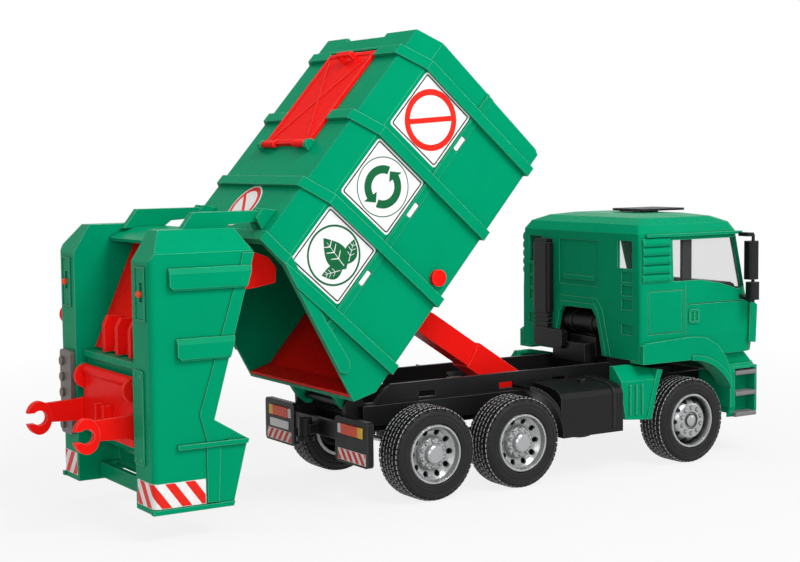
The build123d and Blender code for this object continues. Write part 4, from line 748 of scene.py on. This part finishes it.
for side, s in SIDES.items():
    place = on_box_side(s)
    mid_v = sum(STICKER_V) / 2
    for kind, (u0, u1), tab_u in zip(("leaf", "loop", "ban"), STICKER_U, TAB_U):
        build = Build()
        sticker_base(build, u0, u1, *STICKER_V, place)
        mid_u = (u0 + u1) / 2
        if kind == "leaf":
            thin_ring(build, mid_u, mid_v, LEAF_RING_R, place)
            for du, dv, long, turn, lift in LEAVES:
                leaf(build, mid_u + du, mid_v + dv, long, place, math.radians(turn), lift)
        elif kind == "loop":
            loop_arrows(build, mid_u, mid_v, LOOP_R, place)
            thin_ring(build, mid_u, mid_v, LOOP_RING_R, place)
        else:
            ban_ring(build, mid_u, mid_v, BAN_R, place, BAN_TURN * s)
        tab = square(tab_u - TAB_HALF, tab_u + TAB_HALF, *TAB_V, TAB_CORNER)
        build.prism(tab, place, TAB_LOW, TAB_TOP, INK_WHITE)
        build.done(f"box_sticker_{kind}_{side}", "box", INKS)
build = Build()
build.prism(circle(ROOF_FILM_R, MOTIF_STEPS, ROOF_U, 0.0), on_box_roof, FILM_LOW, FILM_TOP, INK_WHITE)
ban_ring(build, ROOF_U, 0.0, ROOF_BAN_R, on_box_roof, BAN_TURN)
build.done("roof_sticker", "box", INKS)


# Screws of the cover strip
SCREWS_Y = (-54.0, -63.0)
SCREWS_Z = (50.5, 103.5)
SCREW_STEPS = 20
SCREW_R, SCREW_SEAT, SCREW_SUNK, SCREW_TOP, SCREW_TAPER = 1.5, 1.2, 0.6, 0.5, 0.12
BLADE_LONG, BLADE_HALF, BLADE_LOW, BLADE_TOP = SCREW_R * 0.62, 0.16, 0.3, 0.56


def on_gate_rear(a, b, c):
    return at(GATE_REAR - c, a, b)


def screw(build, y, z):
    """A low round head with a raised blade across it."""
    head = circle(SCREW_R, SCREW_STEPS, y, z)
    build.prism(head, on_gate_rear, SCREW_SEAT - SCREW_SUNK, SCREW_SEAT + SCREW_TOP, 0, SCREW_TAPER)
    blade = [(y + i * BLADE_LONG, z + j * BLADE_HALF) for i, j in CORNERS]
    build.prism(blade, on_gate_rear, SCREW_SEAT + BLADE_LOW, SCREW_SEAT + BLADE_TOP)


build = Build()
for y in SCREWS_Y:
    for z in SCREWS_Z:
        screw(build, y, z)
build.done("cover_screws", "tailgate", [GREEN])

# Dash: a pad across the cab and a hood before the driver, as sections along x and z
DASH_PAD = [(93.5, 129.0), (96.0, 133.5), (100.0, 136.2), (106.0, 136.4), (110.0, 134.5), (112.0, 130.0)]
DASH_HOOD = [(0, 0), (1.5, 7.5), (4.0, 9.6), (9.0, 9.2), (12.0, 5.0), (12.0, 0)]
HOOD_X, HOOD_Z = 92.0, 130.0
DASH_HALF, HOOD_INNER = 59.0, 36.0


def sideways(s):
    """a runs along the truck, b up and c out to one side."""
    return lambda a, b, c: at(a, s * c, b)


build = Build()
build.prism([(CAB_REAR + x, z) for x, z in DASH_PAD], sideways(1), -DASH_HALF, DASH_HALF)
build.prism([(CAB_REAR + HOOD_X + x, HOOD_Z + z) for x, z in DASH_HOOD], sideways(1), HOOD_INNER, DASH_HALF)
build.done("dash_pad", "cab", [BLACK])

# Reversing lamps on the rear panels
REVERSING_Y, REVERSING_Z, REVERSING_CORNER = (34.4, 38.2), (47.9, 55.0), 0.8
REVERSING_LOW, REVERSING_TOP, REVERSING_TAPER = -0.3, 0.6, 0.06
build = Build()
for s in SIDES.values():
    lens_outline = square(*REVERSING_Y, *REVERSING_Z, REVERSING_CORNER)
    build.prism(lens_outline, on_panel(s), REVERSING_LOW, REVERSING_TOP, 0, REVERSING_TAPER)
build.done("reversing_lamps", "chassis", [LENS_CLEAR])

# Between the bumper and the cab: a sloping panel over each step well, as a section along x and z
STEP_PANEL = [(-40.0, 72.6), (-10.0, 72.6), (-10.7, 74.0), (-17.0, 80.5), (-22.0, 83.5), (-43.0, 84.0)]
STEP_PANEL_Y, STEP_PANEL_TAPER = (62.0, 68.5), 0.02
build = Build()
for s in SIDES.values():
    section = [(BUMPER_FRONT + x, z) for x, z in STEP_PANEL]
    build.prism(section, sideways(s), *STEP_PANEL_Y, 0, STEP_PANEL_TAPER)
build.done("bumper_corners", "chassis", [GREEN])

# Behind the bumper's vent: dark plates with upright bars, as y and z spans of the openings
VENTS = [(-35, 35, 38.5, 49.4), (-11.4, 11.4, 49.4, 55.5), (20.6, 35, 49.4, 55.5), (-35, -20.6, 49.4, 55.5)]
VENT_PLATE, VENT_BAR = (-5.4, -4.2), (-4.4, -2.9)
BAR_PITCH, BAR_WIDE, BAR_SHORT = 4, 1.2, 0.6
VENT_CORNER, BAR_CORNER = 0.5, 0.3


def behind_bumper(a, b, c):
    return at(BUMPER_FRONT + c, a, b)


build = Build()
for y0, y1, z0, z1 in VENTS:
    build.prism(square(y0, y1, z0, z1, VENT_CORNER), behind_bumper, *VENT_PLATE)
    for i in range(int((y1 - y0) // BAR_PITCH)):
        y = y0 + BAR_PITCH / 2 + BAR_PITCH * i
        bar = square(y, y + BAR_WIDE, z0 + BAR_SHORT, z1 - BAR_SHORT, BAR_CORNER)
        build.prism(bar, behind_bumper, *VENT_BAR)
build.done("bumper_intake", "chassis", [BLACK])


# Stage: a pale floor that fades to white, in metres
FLOOR_REACH = 6.0


def seen_directly(tree):
    """1 for rays from the camera, through clear panes and in reflections, else 0."""
    path = add_node(tree, "ShaderNodeLightPath")
    seen = add_node(tree, "ShaderNodeMath", operation="MAXIMUM")
    link(tree, path, "Is Camera Ray", seen, 0)
    link(tree, path, "Is Transmission Ray", seen, 1)
    shown = add_node(tree, "ShaderNodeMath", operation="MAXIMUM")
    link(tree, seen, "Value", shown, 0)
    link(tree, path, "Is Glossy Ray", shown, 1)
    return shown


def blended(tree, amount, first, second, output):
    """The output's surface is the first shader where the amount is 0 and the second where it is 1."""
    blend = add_node(tree, "ShaderNodeMixShader")
    link(tree, amount, "Value", blend, 0)
    link(tree, first, 0, blend, 1)
    link(tree, second, 0, blend, 2)
    link(tree, blend, 0, tree.nodes[output], "Surface")


def pale_floor():
    material, tree, shader = new_material("pale_floor")
    coords = add_node(tree, "ShaderNodeTexCoord")
    tint = ramp(tree, noise(tree, coords, 40.0, 3.0), "Fac", [(0.3, even(0.60)), (0.7, even(0.63))])
    link(tree, tint, "Color", shader, "Base Color")
    set_gloss(shader, 0.7, 0.1)
    far = add_node(tree, "ShaderNodeVectorMath", operation="LENGTH")
    link(tree, coords, "Object", far, 0)
    fade = mapped(tree, far, "Value", (0.30, 0.9), (0.84, 1.0))
    amount = add_node(tree, "ShaderNodeMath", operation="MULTIPLY")
    link(tree, fade, "Result", amount, 0)
    link(tree, seen_directly(tree), "Value", amount, 1)
    white = add_node(tree, "ShaderNodeEmission", {"Color": (1, 1, 1, 1), "Strength": 1.0})
    blended(tree, amount, shader, white, "Material Output")
    return material


floor_mesh = bpy.data.meshes.new("floor")
floor_corners = [(i * FLOOR_REACH, j * FLOOR_REACH, 0) for i, j in CORNERS]
floor_mesh.from_pydata(floor_corners, [], [(0, 1, 2, 3)])
floor_mesh.materials.append(pale_floor())
floor = bpy.data.objects.new("floor", floor_mesh)
scene.collection.objects.link(floor)

# World: soft light, and white where it is seen, darker towards the ceiling
world = bpy.data.worlds.new("studio")
scene.world = world
world.use_nodes = True
tree = world.node_tree
soft = tree.nodes["Background"]
soft.inputs["Color"].default_value = (1, 1, 1, 1)
soft.inputs["Strength"].default_value = 0.36
plain = add_node(tree, "ShaderNodeBackground", {"Color": (1, 1, 1, 1)})
parts = add_node(tree, "ShaderNodeSeparateXYZ")
link(tree, add_node(tree, "ShaderNodeTexCoord"), "Generated", parts, "Vector")
ceiling = mapped(tree, parts, "Z", (0.30, 0.55), (1.0, 0.3))
link(tree, ceiling, "Result", plain, "Strength")
blended(tree, seen_directly(tree), soft, plain, "World Output")

# Lamps: place, target, width and height in metres, and power in watts
LAMPS = {
    "key": ((0.10, -0.87, 1.07), (0, 0, 0.16), 0.6, 0.45, 10.8),
    "fill": ((-1.4, 0.25, 0.95), (-0.15, 0, 0.15), 0.7, 0.7, 2.4),
    "near": ((-0.70, -1.15, 0.45), (-0.05, 0, 0.12), 0.6, 0.5, 4.2),
    "top": ((-0.1, 0.2, 1.8), (0, 0, 0.1), 1.0, 0.8, 6.0),
    "front": ((1.6, -0.9, 0.8), (0.1, 0, 0.12), 0.7, 0.7, 5.0),
}
for name, (place, target, wide, tall, power) in LAMPS.items():
    lamp = bpy.data.lights.new(name, "AREA")
    lamp.shape = "RECTANGLE"
    lamp.size, lamp.size_y, lamp.energy = wide, tall, power
    holder = bpy.data.objects.new(name, lamp)
    holder.location = place
    holder.rotation_mode = "QUATERNION"
    holder.rotation_quaternion = (Vector(target) - Vector(place)).to_track_quat("-Z", "Y")
    scene.collection.objects.link(holder)

# Camera, as fitted to the photograph
VIEW_FROM = (-593.2, -966.9, 239.6)
AZIMUTH, ELEVATION, ROLL = (math.radians(d) for d in (-32.42, 4.61, -0.57))
FOCAL_PX = 1568.8
WIDTH_PX = 800
SENSOR_MM = 36.0
lens = bpy.data.cameras.new("camera")
lens.sensor_width = SENSOR_MM
lens.lens = SENSOR_MM * FOCAL_PX / WIDTH_PX
lens.clip_start, lens.clip_end = 0.01, 50.0
camera = bpy.data.objects.new("camera", lens)
scene.collection.objects.link(camera)
flat = math.cos(ELEVATION)
back = Vector((math.sin(AZIMUTH) * flat, -math.cos(AZIMUTH) * flat, math.sin(ELEVATION)))
level = Vector((math.cos(AZIMUTH), math.sin(AZIMUTH), 0))
upward = back.cross(level)
right = level * math.cos(ROLL) + upward * math.sin(ROLL)
upward = upward * math.cos(ROLL) - level * math.sin(ROLL)
turn = Matrix((right, upward, back)).transposed().to_4x4()
camera.matrix_world = Matrix.Translation(at(*VIEW_FROM)) @ turn
scene.camera = camera
scene.view_settings.view_transform = "Standard"
